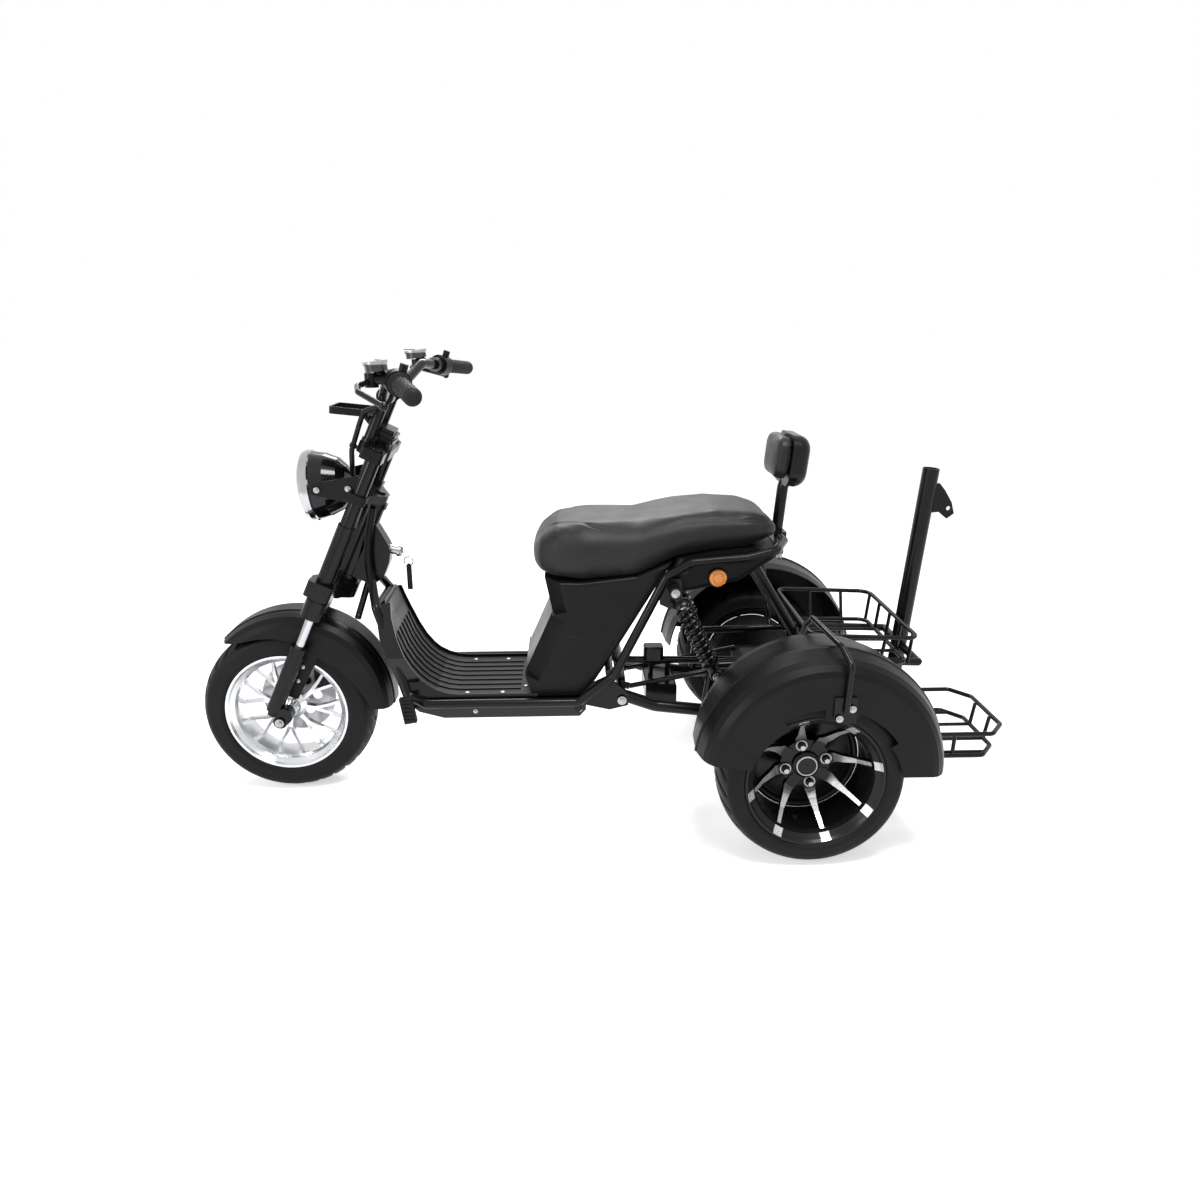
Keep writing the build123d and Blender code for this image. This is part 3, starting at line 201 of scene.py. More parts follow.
def painted(name, base, rough, coat, orange_peel=0.00004, specular=0.3):
    """Powder-coated or sprayed metal: a faint orange peel, and slight dust in the roughness."""
    f = Finish(name, base, Coat_Weight=coat, Coat_Roughness=0.1, Specular_IOR_Level=specular)
    f.feed("Roughness", f.spread(f.noise(14.0, 5.0), 0.3, 0.7, rough - 0.05, rough + 0.07))
    dust = f.spread(f.noise(7.0, 6.0, 0.6), 0.4, 0.8, 0.0, 1.0)
    f.feed("Base Color", f.blend(dust, base, tuple(c * 1.4 + 0.001 for c in base)))
    f.bump((f.noise(420.0, 2.0), orange_peel))
    return f.material


def moulded(name, base, rough, grain=0.00008, scale=900.0, specular=0.3):
    """Moulded plastic with a fine leather-like grain."""
    f = Finish(name, base, Specular_IOR_Level=specular)
    f.feed("Roughness", f.spread(f.noise(11.0, 5.0), 0.3, 0.7, rough - 0.06, rough + 0.08))
    shade = f.spread(f.noise(5.0, 4.0), 0.3, 0.75, 0.0, 1.0)
    f.feed("Base Color", f.blend(shade, base, tuple(c * 1.35 + 0.001 for c in base)))
    f.bump((f.cells(scale), grain))
    return f.material


def bare_metal(name, base, rough, scratches=0.0):
    """Polished or brushed metal with fine wear in the roughness."""
    f = Finish(name, base, Metallic=1.0)
    wear = f.noise(60.0, 6.0, 0.6)
    f.feed("Roughness", f.spread(wear, 0.3, 0.75, max(0.02, rough - 0.05), rough + 0.1))
    tone = f.spread(f.noise(9.0, 4.0), 0.3, 0.7, 0.0, 1.0)
    f.feed("Base Color", f.blend(tone, base, tuple(c * 0.88 for c in base)))
    if scratches:
        f.bump((f.noise(900.0, 3.0, stretch=(1.0, 0.08, 1.0)), scratches))
    else:
        f.bump((f.noise(240.0, 2.0), 0.00002))
    return f.material


# Rear rim: its two colours, and where its machined faces lie, in metres from the wheel's axis
RIM_BLACK = (0.004, 0.004, 0.0045)
MACHINED = (0.6, 0.61, 0.62)
FACE_INNER = 0.052
FACE_OUTER = 0.1365
FACE_DEPTH = 0.008
DULL_UNTIL = 0.056
BRIGHT_FROM = 0.082
BLADE_FOOT = 0.118
BLADE_SIDE = 0.0098
# How far a machined face's normal must point along the axle
FACE_OUTWARD = 0.42


def rear_rim_finish():
    """Gloss black casting with bright machined faces on its eight blades."""
    f = Finish("rim_black", (0.006, 0.006, 0.007), Specular_IOR_Level=0.25)
    x, y, z = f.along(f.place)
    _, facing, _ = f.along(f.normal)
    dx = x - SHIFT_X / 1000.0
    dz = z - REAR_R / 1000.0
    radius = (dx * dx + dz * dz) ** 0.5
    out = abs(y) - HUB_Y / 1000.0
    outward = (abs(facing) > FACE_OUTWARD) * (y * facing > 0.0)
    # How far a point lies to the side of the nearest blade's own line
    turned = f.add("ShaderNodeMath", {"operation": "ARCTAN2"}, {0: dz, 1: dx})
    eighths = (turned + math.radians(BLADE_TURN)) * (BLADES / FULL) + 0.5
    share = f.add("ShaderNodeMath", {"operation": "FRACT"}, {0: eighths + 10.0})
    beside = abs(share - 0.5) * (FULL / BLADES) * radius
    foot = (radius < BLADE_FOOT) + (beside < BLADE_SIDE)
    spoke = (radius > FACE_INNER) * (radius < FACE_OUTER) * (out > -FACE_DEPTH) * (foot > 0.5)
    # The machined face fades to black towards the lugs, along a slightly uneven line.
    uneven = radius + (f.noise(30.0, 2.0) - 0.5) * 0.012
    bright = f.spread(uneven, DULL_UNTIL, BRIGHT_FROM, 0.0, 1.0)
    mask = f.spread(outward * spoke * bright, 0.0, 1.0, 0.0, 1.0)
    brushed = f.noise(700.0, 3.0, stretch=(1.0, 0.1, 1.0))
    f.feed("Base Color", f.blend(mask, RIM_BLACK, MACHINED))
    f.feed("Metallic", mask * 0.62)
    f.feed("Roughness", f.spread(brushed, 0.3, 0.7, 0.24, 0.34))
    f.bump((brushed, 0.00002))
    return f.material


def vinyl():
    """Black seat vinyl: pebbled grain, slightly worn on the crown."""
    f = Finish("seat_vinyl", (0.008, 0.008, 0.009), Specular_IOR_Level=0.28, Sheen_Weight=0.05)
    f.feed("Roughness", f.spread(f.noise(18.0, 5.0), 0.3, 0.7, 0.42, 0.54))
    worn = f.spread(f.noise(6.0, 5.0), 0.35, 0.75, 0.0, 1.0)
    f.feed("Base Color", f.blend(worn, (0.007, 0.007, 0.008), (0.013, 0.013, 0.014)))
    f.bump((f.cells(520.0, "SMOOTH_F1"), 0.0003), (f.noise(30.0, 4.0), 0.0006))
    return f.material


def rubbery(name, base, rough, grain=0.0002, specular=0.3):
    f = Finish(name, base, Specular_IOR_Level=specular)
    f.feed("Roughness", f.spread(f.noise(20.0, 6.0), 0.3, 0.7, rough - 0.08, rough + 0.08))
    dusty = f.spread(f.noise(9.0, 6.0, 0.65), 0.4, 0.8, 0.0, 1.0)
    f.feed("Base Color", f.blend(dusty, base, tuple(c * 1.5 + 0.002 for c in base)))
    f.bump((f.noise(500.0, 3.0), grain))
    return f.material


def reflecting(name, base):
    f = Finish(name, base, Coat_Weight=1.0, Coat_Roughness=0.05, Roughness=0.25)
    prisms = f.cells(260.0)
    share = f.spread(prisms, 0.0, 0.6, 0.0, 1.0)
    f.feed("Base Color", f.blend(share, base, tuple(c * 0.62 for c in base)))
    f.bump((prisms, 0.0006))
    return f.material


def lamp_glass():
    f = Finish("lamp_glass", (0.93, 0.95, 0.97), Roughness=0.02, IOR=1.45, Transmission_Weight=1.0)
    f.bump((f.noise(60.0, 2.0), 0.00004))
    return f.material


M = {
    "black_paint": painted("black_paint", (0.0035, 0.0035, 0.004), 0.26, 0.16, specular=0.14),
    "gloss_black": painted("gloss_black", (0.0025, 0.0025, 0.003), 0.14, 0.4, 0.00002, 0.16),
    "plastic_black": moulded("plastic_black", (0.0042, 0.0042, 0.0046), 0.36, specular=0.15),
    "seat_vinyl": vinyl(),
    "tyre_rubber": rubbery("tyre_rubber", (0.006, 0.006, 0.0065), 0.5, specular=0.14),
    "rubber": rubbery("rubber", (0.008, 0.008, 0.009), 0.55, specular=0.2),
    "silver_alloy": bare_metal("silver_alloy", (0.74, 0.75, 0.77), 0.2, 0.00003),
    "rim_black": rear_rim_finish(),
    "chrome": bare_metal("chrome", (0.5, 0.51, 0.53), 0.1),
    "steel": bare_metal("steel", (0.42, 0.42, 0.43), 0.28, 0.00004),
    "lamp_glass": lamp_glass(),
    "amber": reflecting("amber", (0.95, 0.29, 0.01)),
    "red_lens": reflecting("red_lens", (0.35, 0.006, 0.006)),
    "cast_grey": painted("cast_grey", (0.008, 0.008, 0.009), 0.5, 0.1, 0.0003, 0.2),
}


# Height of the fluid cups' lids above the ground, in metres
CUP_LID_Z = 0.9955


def cup_metal_painted_shade():
    """Silver lid over the cup's sides, which are painted near-black as painted shade for the dark
    reflections on the silver; the two are told apart by height above the ground.
    """
    f = Finish("cup_metal_painted_shade", (0.3, 0.3, 0.31), Metallic=0.9)
    _, _, height = f.along(f.place)
    share = f.spread(height, CUP_LID_Z - 0.001, CUP_LID_Z + 0.001, 0.0, 1.0)
    # Painted shade: below the lid the silver cup is coloured near-black, standing in for the dark
    # reflections on its sides.
    f.feed("Base Color", f.blend(share, (0.07, 0.07, 0.075), (0.42, 0.43, 0.45)))
    f.feed("Roughness", f.spread(f.noise(60.0, 5.0), 0.3, 0.7, 0.2, 0.32))
    return f.material


# Shapes


class Shape:
    """A mesh in the making, in stations: millimetres from the ground under the rear axle."""

    def __init__(self):
        self.bm = bmesh.new()

    def placed(self, before, centre, axis, turned=0.0):
        """Moves what was made since `before` from the origin's Z axis to a line."""
        new = [v for v in self.bm.verts if v not in before]
        turn = Vector(axis).to_track_quat("Z", "X").to_matrix().to_4x4()
        move = Matrix.Translation(Vector(centre)) @ turn @ Matrix.Rotation(turned, 4, "Z")
        bmesh.ops.transform(self.bm, matrix=move, verts=new)
        return new

    def rounded(self, edges, soft, segments):
        bmesh.ops.bevel(
            self.bm,
            geom=edges,
            offset=soft,
            segments=segments,
            profile=0.5,
            affect="EDGES",
            material=-1,
        )

    def lathe(self, rows, centre, axis, steps=64, closed=False):
        """(radius, distance along) rows turned about the line."""
        before = set(self.bm.verts)
        verts = [self.bm.verts.new((r, 0, a)) for r, a in rows]
        pairs = list(zip(verts, verts[1:])) + ([(verts[-1], verts[0])] if closed else [])
        edges = [self.bm.edges.new(pair) for pair in pairs]
        bmesh.ops.spin(
            self.bm,
            geom=verts + edges,
            axis=(0, 0, 1),
            cent=(0, 0, 0),
            angle=FULL,
            steps=steps,
            use_merge=True,
        )
        new = [v for v in self.bm.verts if v not in before]
        bmesh.ops.remove_doubles(self.bm, verts=new, dist=0.01)
        return self.placed(before, centre, axis)

    def disc(self, r, height, centre, axis, sides=32, soft=0.6, turned=0.0, top=None):
        """A round or many-sided boss whose upper edge is softened."""
        before = set(self.bm.verts)
        top = r if top is None else top
        bmesh.ops.create_cone(
            self.bm,
            cap_ends=True,
            segments=sides,
            radius1=r,
            radius2=top,
            depth=height,
            matrix=Matrix.Translation((0, 0, height / 2)),
        )
        raised = {v for v in self.bm.verts if v not in before and v.co.z > height - 0.001}
        rim = [e for e in self.bm.edges if set(e.verts) <= raised]
        if soft:
            self.rounded(rim, soft, 2)
        return self.placed(before, centre, axis, turned)

    def bolt(self, centre, axis, r=5.0, height=4.0, turned=0.3):
        """A hexagon head on its washer."""
        axis = Vector(axis).normalized()
        centre = Vector(centre)
        self.disc(r * 1.45, 1.2, centre, axis, 24, 0.3)
        self.disc(r, height, centre + axis * 1.1, axis, 6, 0.5, turned)
        self.disc(r * 0.45, 1.5, centre + axis * (height + 1.0), axis, 16, 0.3)

    def slab(self, size, centre, axis=TOP, turned=0.0, soft=1.5, segments=3):
        """A block with all its edges rounded."""
        before = set(self.bm.verts)
        made = bmesh.ops.create_cube(self.bm, size=1.0)["verts"]
        bmesh.ops.scale(self.bm, vec=size, verts=made)
        edges = list({e for v in made for e in v.link_edges})
        self.rounded(edges, soft, segments)
        return self.placed(before, centre, axis, turned)

    def hose(self, points, r, ribs=0.0, sides=12, every=6.0):
        """A tube along a smooth line through given points, its rings ribbed if asked."""
        line = smooth_line(points, every)
        last = None
        for i, point in enumerate(line):
            ahead = line[min(i + 1, len(line) - 1)] - line[max(i - 1, 0)]
            turn = ahead.to_track_quat("Z", "X").to_matrix().to_4x4()
            radius = r + (ribs if i % 2 else 0.0)
            ends = i in (0, len(line) - 1)
            ring = bmesh.ops.create_circle(
                self.bm,
                cap_ends=ends,
                segments=sides,
                radius=radius,
                matrix=Matrix.Translation(point) @ turn,
            )["verts"]
            edges = list({e for v in ring for e in v.link_edges})
            if last:
                bmesh.ops.bridge_loops(self.bm, edges=last + edges)
            last = edges

    def done(self, name, body, finish, replaces=(), sharp=32.0):
        """The finished piece: in metres, riding on its body, with its finish."""
        bm = self.bm
        bmesh.ops.recalc_face_normals(bm, faces=bm.faces)
        bmesh.ops.scale(bm, vec=(0.001, 0.001, 0.001), verts=bm.verts)
        bmesh.ops.translate(bm, vec=(SHIFT_X / 1000.0, 0, 0), verts=bm.verts)
        return kept(bm, name, body, finish, replaces, sharp)


def smooth_line(points, every):
    """Points along a smooth line that starts and ends on the first and last of these."""
    points = [Vector(p) for p in points]
    middles = [(a + b) / 2 for a, b in zip(points, points[1:])]
    line = [points[0]]
    for a, corner, b in zip(middles, points[1:-1], middles[1:]):
        steps = max(3, int((b - a).length / every))
        toward = a + (corner - a) * (2 / 3)
        away = b + (corner - b) * (2 / 3)
        line += list(interpolate_bezier(a, toward, away, b, steps))
    line.append(points[-1])
    out = line[:1]
    for point in line[1:]:
        if (point - out[-1]).length > every * 0.2:
            out.append(point)
    return out


def kept(bm, name, body, finish, replaces=(), sharp=32.0):
    """A bmesh in metres as an object of the scene."""
    for edge in bm.edges:
        edge.smooth = edge.calc_face_angle(0.0) < math.radians(sharp)
    for face in bm.faces:
        face.smooth = True
    mesh = bpy.data.meshes.new(name)
    bm.to_mesh(mesh)
    bm.free()
    piece = bpy.data.objects.new(name, mesh)
    bpy.context.scene.collection.objects.link(piece)
    mesh.materials.append(M[finish])
    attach(piece, body)
    if replaces:
        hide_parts(*replaces)
    return piece


# Tyres


def groove_depth(around, across, count):
    """How deep the tread is cut at a share around the wheel and a share across it, from 0 to 1."""
    share = abs(across)
    if share < 0.1 or share > 0.9:
        return 0.0
    half_step = 0.5 if across < 0 else 0.0
    phase = (around * count + half_step + 0.9 * share ** 1.5) % 1.0
    width = 0.13 + 0.05 * share
    edge = min(phase, 1.0 - phase)
    return max(0.0, min(1.0, (width - edge) / 0.05))


TREAD_DEPTH = 3.6


def add_tyre(name, body, centre, radius, half, bead, count):
    """A round-crowned tyre with curved cuts across its tread and a ringed sidewall."""
    crown = half - 5.0
    drop = 15.0
    rows = [
        (bead - 1, -half + 9),
        (bead + 4, -half + 1),
        (bead + 7, -half),
        (bead + 9, -half - 0.5),
        (bead + 12, -half - 1),
        (bead + 14, -half - 0.2),
        (radius - 28, -half - 0.6),
        (radius - 20, -half + 1),
    ]
    wall = len(rows)
    lanes = 34
    for i in range(lanes + 1):
        y = crown * (2 * i / lanes - 1)
        rows.append((radius - drop * (abs(y) / crown) ** 2.4, y))
    rows += [(r, -y) for r, y in reversed(rows[:wall])]
    shape = Shape()
    shape.lathe(rows, (0, 0, 0), LEFT, 560, closed=True)
    for vert in shape.bm.verts:
        x, y, z = vert.co
        r = math.hypot(x, z)
        if abs(y) > crown * 0.92 or r < bead + 16:
            continue
        depth = TREAD_DEPTH * groove_depth(math.atan2(z, x) / FULL, y / crown, count)
        vert.co.x *= (r - depth) / r
        vert.co.z *= (r - depth) / r
    bmesh.ops.translate(shape.bm, vec=centre, verts=shape.bm.verts)
    return shape.done(name, body, "tyre_rubber", [name.replace("_tread", "_tyre")], 50.0)


def add_tyres():
    centre = (WHEELBASE, 0, FRONT_R)
    bead = FRONT_R - 58
    add_tyre("front_tread", "front_wheel", centre, FRONT_R, FRONT_HALF, bead, 32)
    bead = REAR_R - 50
    for side, word in SIDES:
        centre = (0, side * TRACK_HALF, REAR_R)
        name = "rear_" + word
        add_tyre(name + "_tread", name + "_wheel", centre, REAR_R, REAR_HALF, bead, 30)


# Rear shock absorbers


def add_shocks():
    """Damper, spring seats and a wound spring on each side, between the two eyes."""
    wire = 3.4
    coil = 17.5
    turns = 9
    per_turn = 20
    for side, word in SIDES:
        low = Vector((SHOCK_LOW[0], side * SHOCK_LOW[1], SHOCK_LOW[2]))
        high = Vector((SHOCK_TOP[0], side * SHOCK_TOP[1], SHOCK_TOP[2]))
        axis = (high - low).normalized()
        length = (high - low).length
        rise = (length - 74) / turns
        shape = Shape()
        half = length * 0.55
        body_rows = [(0, 8), (11, 8), (11, 22), (15, 24), (20, 27), (20.5, 31), (12, 33), (12, half)]
        rod_rows = [(6, half), (6, length - 34), (19, length - 33), (20.5, length - 30)]
        cap_rows = [(18, length - 25), (10, length - 20), (10, length - 8), (0, length - 8)]
        shape.lathe(body_rows + rod_rows + cap_rows, low, axis, 40)
        before = set(shape.bm.verts)
        ring = bmesh.ops.create_circle(
            shape.bm,
            segments=10,
            radius=wire,
            matrix=Matrix.Translation((coil, 0, 0)) @ Matrix.Rotation(math.pi / 2, 4, "X"),
        )["verts"]
        edges = list({e for v in ring for e in v.link_edges})
        bmesh.ops.spin(
            shape.bm,
            geom=ring + edges,
            axis=(0, 0, 1),
            cent=(0, 0, 0),
            angle=FULL * turns,
            steps=per_turn * turns,
            dvec=(0, 0, rise / per_turn),
        )
        shape.placed(before, low + axis * 35, axis)
        for eye in (low, high):
            rows = [(6, -14), (13, -14), (13.5, -12), (13.5, 12), (13, 14), (6, 14)]
            shape.lathe(rows, eye, LEFT, 32, closed=True)
        shape.done("shock_" + word, "chassis", "black_paint", ["shocks"])
        bolts = Shape()
        bolts.bolt(high + LEFT * side * 13, LEFT * side, 6.5, 4)
        bolts.bolt(low + LEFT * side * 13, LEFT * side, 6.5, 4)
        bolts.done("shock_bolts_" + word, "chassis", "steel")


# Padded seat and back


PAD_FRAMES = 20
PAD_PRESSURE = 4.0
PAD_SMOOTHINGS = 4


def pad_from(node, name, voxel, cap, shrink):
    """A cover a little inside its solid that air blows up, at most by `cap`, then smoothed."""
    mesh = nodes[node].data.copy()
    mesh.name = name
    piece = bpy.data.objects.new(name, mesh)
    bpy.context.scene.collection.objects.link(piece)
    bm = bmesh.new()
    bm.from_mesh(mesh)
    bmesh.ops.remove_doubles(bm, verts=bm.verts, dist=0.00005)
    bmesh.ops.recalc_face_normals(bm, faces=bm.faces)
    bm.to_mesh(mesh)
    bm.free()
    remesh = piece.modifiers.new("even", "REMESH")
    remesh.mode = "VOXEL"
    remesh.voxel_size = voxel
    smooth = piece.modifiers.new("soft", "SMOOTH")
    smooth.factor = 0.6
    smooth.iterations = 6
    applied(piece)
    start = [v.co - v.normal * shrink for v in piece.data.vertices]
    piece.data.vertices.foreach_set("co", [c for p in start for c in p])
    cloth = piece.modifiers.new("cloth", "CLOTH")
    cloth.settings.effector_weights.gravity = 0.0
    cloth.settings.use_pressure = True
    cloth.settings.uniform_pressure_force = PAD_PRESSURE
    for step in range(1, PAD_FRAMES + 1):
        bpy.context.scene.frame_set(step)
    applied(piece)
    bpy.context.scene.frame_set(1)
    for vert, rest in zip(piece.data.vertices, start):
        moved = vert.co - rest
        if moved.length > cap:
            vert.co = rest + moved * (cap / moved.length)
    bm = bmesh.new()
    bm.from_mesh(piece.data)
    for _ in range(PAD_SMOOTHINGS):
        bmesh.ops.smooth_vert(
            bm,
            verts=bm.verts,
            factor=0.5,
            use_axis_x=True,
            use_axis_y=True,
            use_axis_z=True,
        )
    bm.to_mesh(piece.data)
    bm.free()
    return piece


def applied(piece):
    """Turns a piece's modifiers into its mesh."""
    graph = bpy.context.evaluated_depsgraph_get()
    mesh = bpy.data.meshes.new_from_object(piece.evaluated_get(graph))
    piece.modifiers.clear()
    piece.data = mesh


def finish_pad(piece, body, node):
    """One subdivision, then the vinyl."""
    more = piece.modifiers.new("fine", "SUBSURF")
    more.levels = 1
    more.render_levels = 1
    applied(piece)
    piece.data.materials.clear()
    piece.data.materials.append(M["seat_vinyl"])
    for face in piece.data.polygons:
        face.use_smooth = True
    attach(piece, body)
    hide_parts(node)


# Crease between the seat's top and its side panel: x, y, z
SEAT_CREASE = [
    (532, 40, 640),
    (516, 58, 645),
    (472, 84, 651),
    (419, 115, 648.6),
    (335, 127.5, 642.5),
    (282, 132, 651),
    (228, 125, 665),
    (121, 125, 663),
    (43, 98, 658),
    (28, 60, 650),
]


def crease(piece, points, depth, width):
    """Pulls a padded piece in along a line on both of its sides."""
    line = [Vector(p) for p in smooth_line(points, 12.0)]
    reach = width * 2.6
    for vert in piece.data.vertices:
        p = Vector((vert.co.x * 1000 - SHIFT_X, abs(vert.co.y) * 1000, vert.co.z * 1000))
        nearest = min((p - q).length for q in line)
        if nearest > reach + 12:
            continue
        for a, b in zip(line, line[1:]):
            foot, share = intersect_point_line(p, a, b)
            foot = a if share < 0 else b if share > 1 else foot
            nearest = min(nearest, (p - foot).length)
        pull = depth * math.exp(-((nearest / width) ** 2))
        vert.co -= vert.normal * (pull / 1000.0)


def add_seat():
    piece = pad_from("seat_cushion", "seat_pad", voxel=0.0065, cap=0.006, shrink=0.003)
    finish_pad(piece, "seat", "seat_cushion")
    crease(piece, SEAT_CREASE, depth=3.4, width=5.0)


def add_backrest_pad():
    piece = pad_from("backrest_pad", "back_pad", voxel=0.004, cap=0.004, shrink=0.002)
    finish_pad(piece, "chassis", "backrest_pad")


# Grips, cups, lamp and the small things on them

BAR_UP = 117.0
RISER_AHEAD = 28.5
BAR_KNEE = (-39.0, 205.0, 53.0)
BAR_END = (-118.0, 428.0, 30.0)
GRIP_LEN = 122.0


def bar_point(row, side):
    base = fork_point(-BAR_UP, 0, RISER_AHEAD)
    return base + Vector((row[0], row[1] * side, row[2]))


def add_grips():
    """Rubber sleeves with fine rings, a ribbed flange inside and a domed end."""
    rows = [(11.2, 0), (20, 0), (22, 1.5), (20.5, 3), (22, 4.5), (20.5, 6), (21.5, 7.5), (17, 9)]
    for i in range(17):
        d = 12 + i * 6.2
        rows += [(15.6, d), (16.6, d + 1), (16.6, d + 4.2), (15.6, d + 5.2)]
    dome = [(16.6, -1), (16.6, 4), (14.6, 9), (10, 12.6), (0, 14)]
    rows += [(r, GRIP_LEN + d) for r, d in dome]
    for side, word in SIDES:
        end = bar_point(BAR_END, side)
        out = (end - bar_point(BAR_KNEE, side)).normalized()
        shape = Shape()
        shape.lathe(rows, end - out * GRIP_LEN, out, 40)
        shape.done("grip_" + word, "steering", "rubber", ["grips"])


# The headlamp: where its middle lies and which way it looks
LAMP_TILT = math.radians(-4.0)
LAMP_DIR = Vector((math.cos(LAMP_TILT), 0, math.sin(LAMP_TILT)))
LAMP_AT = fork_point(135, 0, 102)


def add_headlamp():
    """Reflector and bulb behind the glass."""
    dish = Shape()
    inside = [(12, -44), (24, -40), (40, -26), (52, -8), (60, 6), (64.5, 16)]
    outside = [(63.5, 16.5), (50, -6), (38, -22), (11, -39)]
    dish.lathe(inside + outside, LAMP_AT, LAMP_DIR, 64, closed=True)
    dish.done("lamp_dish", "steering", "chrome")
    bulb = Shape()
    rows = [(0, -46), (8, -46), (8, -30), (11, -24), (12, -16), (9, -8), (0, -5)]
    bulb.lathe(rows, LAMP_AT, LAMP_DIR, 24)
    bulb.done("lamp_bulb", "steering", "steel")


# Bolt heads, the same on both sides: x, y, z, radius and height of the head
CHASSIS_BOLTS = [
    (-30, 433, 340, 5.0, 3.5),
    (-54, 433, 360, 5.0, 3.5),
    (372, 153, 262, 7.0, 4.0),
    (247, 190, 491, 4.5, 3.0),
    (440, 147.5, 284, 4.5, 3.0),
    (412, 147.5, 300, 4.5, 3.0),
    (18, 64, 566, 5.0, 3.0),
    (466, 131, 232, 3.6, 2.4),
    (700, 131, 232, 3.6, 2.4),
]
STEERING_BOLTS = [
    (1094, 66, 319, 3.4, 2.4),
    (1108, 66, 285, 3.4, 2.4),
    (1149, 66, 288, 3.4, 2.4),
    (LAMP_AT.x - 22, FORK_Y + 6, LAMP_AT.z + 6, 4.4, 3.4),
    (LAMP_AT.x - 88, FORK_Y + 6, LAMP_AT.z + 8, 4.4, 3.4),
    (WHEELBASE, FORK_Y + 20, FRONT_R, 7.0, 5.0),
]


def add_bolts():
    """Hexagon heads on the brackets, plates and clamps of the chassis and the steering."""
    for body, rows in (("chassis", CHASSIS_BOLTS), ("steering", STEERING_BOLTS)):
        bolts = Shape()
        for side, _ in SIDES:
            for x, y, z, radius, height in rows:
                bolts.bolt((x, side * y, z), LEFT * side, radius, height)
        bolts.done(body + "_bolts", body, "steel")


def add_wheel_nuts():
    """Bright nuts in ringed lug holes, and a ring around each rear wheel's cap."""
    for side, word in SIDES:
        body = "rear_" + word + "_wheel"
        out = LEFT * side
        nuts = Shape()
        for i in range(4):
            a = math.radians(LUG_TURN + 90 * i)
            place = (LUG_R * math.cos(a), side * (HUB_Y + 8), REAR_R + LUG_R * math.sin(a))
            nuts.disc(6.2, 6.0, place, out, 6, 0.8, a)
            rows = [(8.6, -6), (12.4, -6), (12.4, 1.4), (11.6, 2.0), (9.6, 2.0), (8.6, 1.2)]
            nuts.lathe(rows, (place[0], side * HUB_Y, place[2]), out, 32, closed=True)
        nuts.done("rear_" + word + "_nuts", body, "steel")
        cap = Shape()
        rows = [(19, 9), (22.5, 9), (22.5, 12.6), (21.5, 13.4), (19.6, 13.4), (19, 12.6)]
        cap.lathe(rows, (0, side * HUB_Y, REAR_R), out, 48, closed=True)
        cap.done("rear_" + word + "_cap_ring", body, "steel")


def add_lock():
    """The barrel's face, its key, and the ring with a fob that hangs from it."""
    face = fork_point(200, 0, -118)
    axis = (face - fork_point(206, 0, -86)).normalized()
    barrel = Shape()
    barrel.lathe([(0, 0), (9, 0), (11.5, 1), (12, 3), (9.5, 4), (8.5, 2.6), (0, 2.6)], face, axis, 32)
    barrel.slab((2.2, 9, 22), face + axis * 12, axis, 0.0, 0.8)
    barrel.done("lock_face", "chassis", "steel")
    ring_at = face + axis * 17 + Vector((0, 0, -19))
    ring = Shape()
    ring.lathe([(9.0, 0), (10.2, 1.2), (11.4, 0), (10.2, -1.2)], ring_at, LEFT, 32, closed=True)
    ring.done("key_ring", "chassis", "steel")
    fob = Shape()
    fob.slab((12, 3.6, 58), ring_at + Vector((0, 0, -38)), TOP, 0.0, 1.6)
    fob.slab((7, 4.4, 9), ring_at + Vector((0, 0, -10)), TOP, 0.0, 1.2)
    fob.done("key_fob", "chassis", "plastic_black")


def add_sleeve():
    """The loom's ribbed sleeve, down the left of the frame's head."""
    rows = [
        fork_point(124, 34, -30),
        fork_point(190, 38, -44),
        fork_point(250, 36, -66),
        fork_point(330, 42, -118),
    ]
    shape = Shape()
    shape.hose(rows, 7.0, 1.6, 16, 3.2)
    shape.done("loom_sleeve", "chassis", "plastic_black", sharp=60.0)


def add_loom_clip():
    """The clip that ties the loom to the front edge of the top yoke."""
    clip = Shape()
    rows = [(5.2, -4), (7.4, -4), (7.4, 4), (5.2, 4)]
    clip.lathe(rows, fork_point(7, 60.8, 52.8), UP, 32, closed=True)
    clip.disc(4.0, 8.5, fork_point(7, 60.8, 39.5), AHEAD)
    clip.done("loom_clip", "steering", "plastic_black", sharp=40.0)


def add_reflector_lenses():
    """Amber lenses with a raised ring, in black cups."""
    for side, word in SIDES:
        out = LEFT * side
        centre = (166, side * 134, 540)
        lens = Shape()
        face = [(0, 12.0), (10.0, 12.2), (11, 11.0), (12, 12.2), (17.6, 11.6), (19.0, 9.6)]
        lens.lathe(face + [(19.0, 3), (0, 3)], centre, out, 56)
        lens.done("reflector_" + word, "chassis", "amber", ["side_reflectors"])
        cup = Shape()
        rows = [(0, 0), (19.6, 0), (19.9, 2), (19.9, 9), (19.2, 9.6), (18.8, 8), (0, 2)]
        cup.lathe(rows, centre, out, 56)
        cup.done("reflector_cup_" + word, "chassis", "plastic_black", ["side_reflectors"])


def add_cup_trim():
    """A dark round sight on the left cup's lid, and a dark window on the right one's."""
    trim = Shape()
    trim.disc(6.0, 1.2, (836, 252, 1002.0), TOP, 32, 0.4)
    trim.slab((26, 13, 1.6), (861, -250, 1002.6), TOP, 0.2, 0.6)
    trim.done("cup_trim", "steering", "gloss_black")


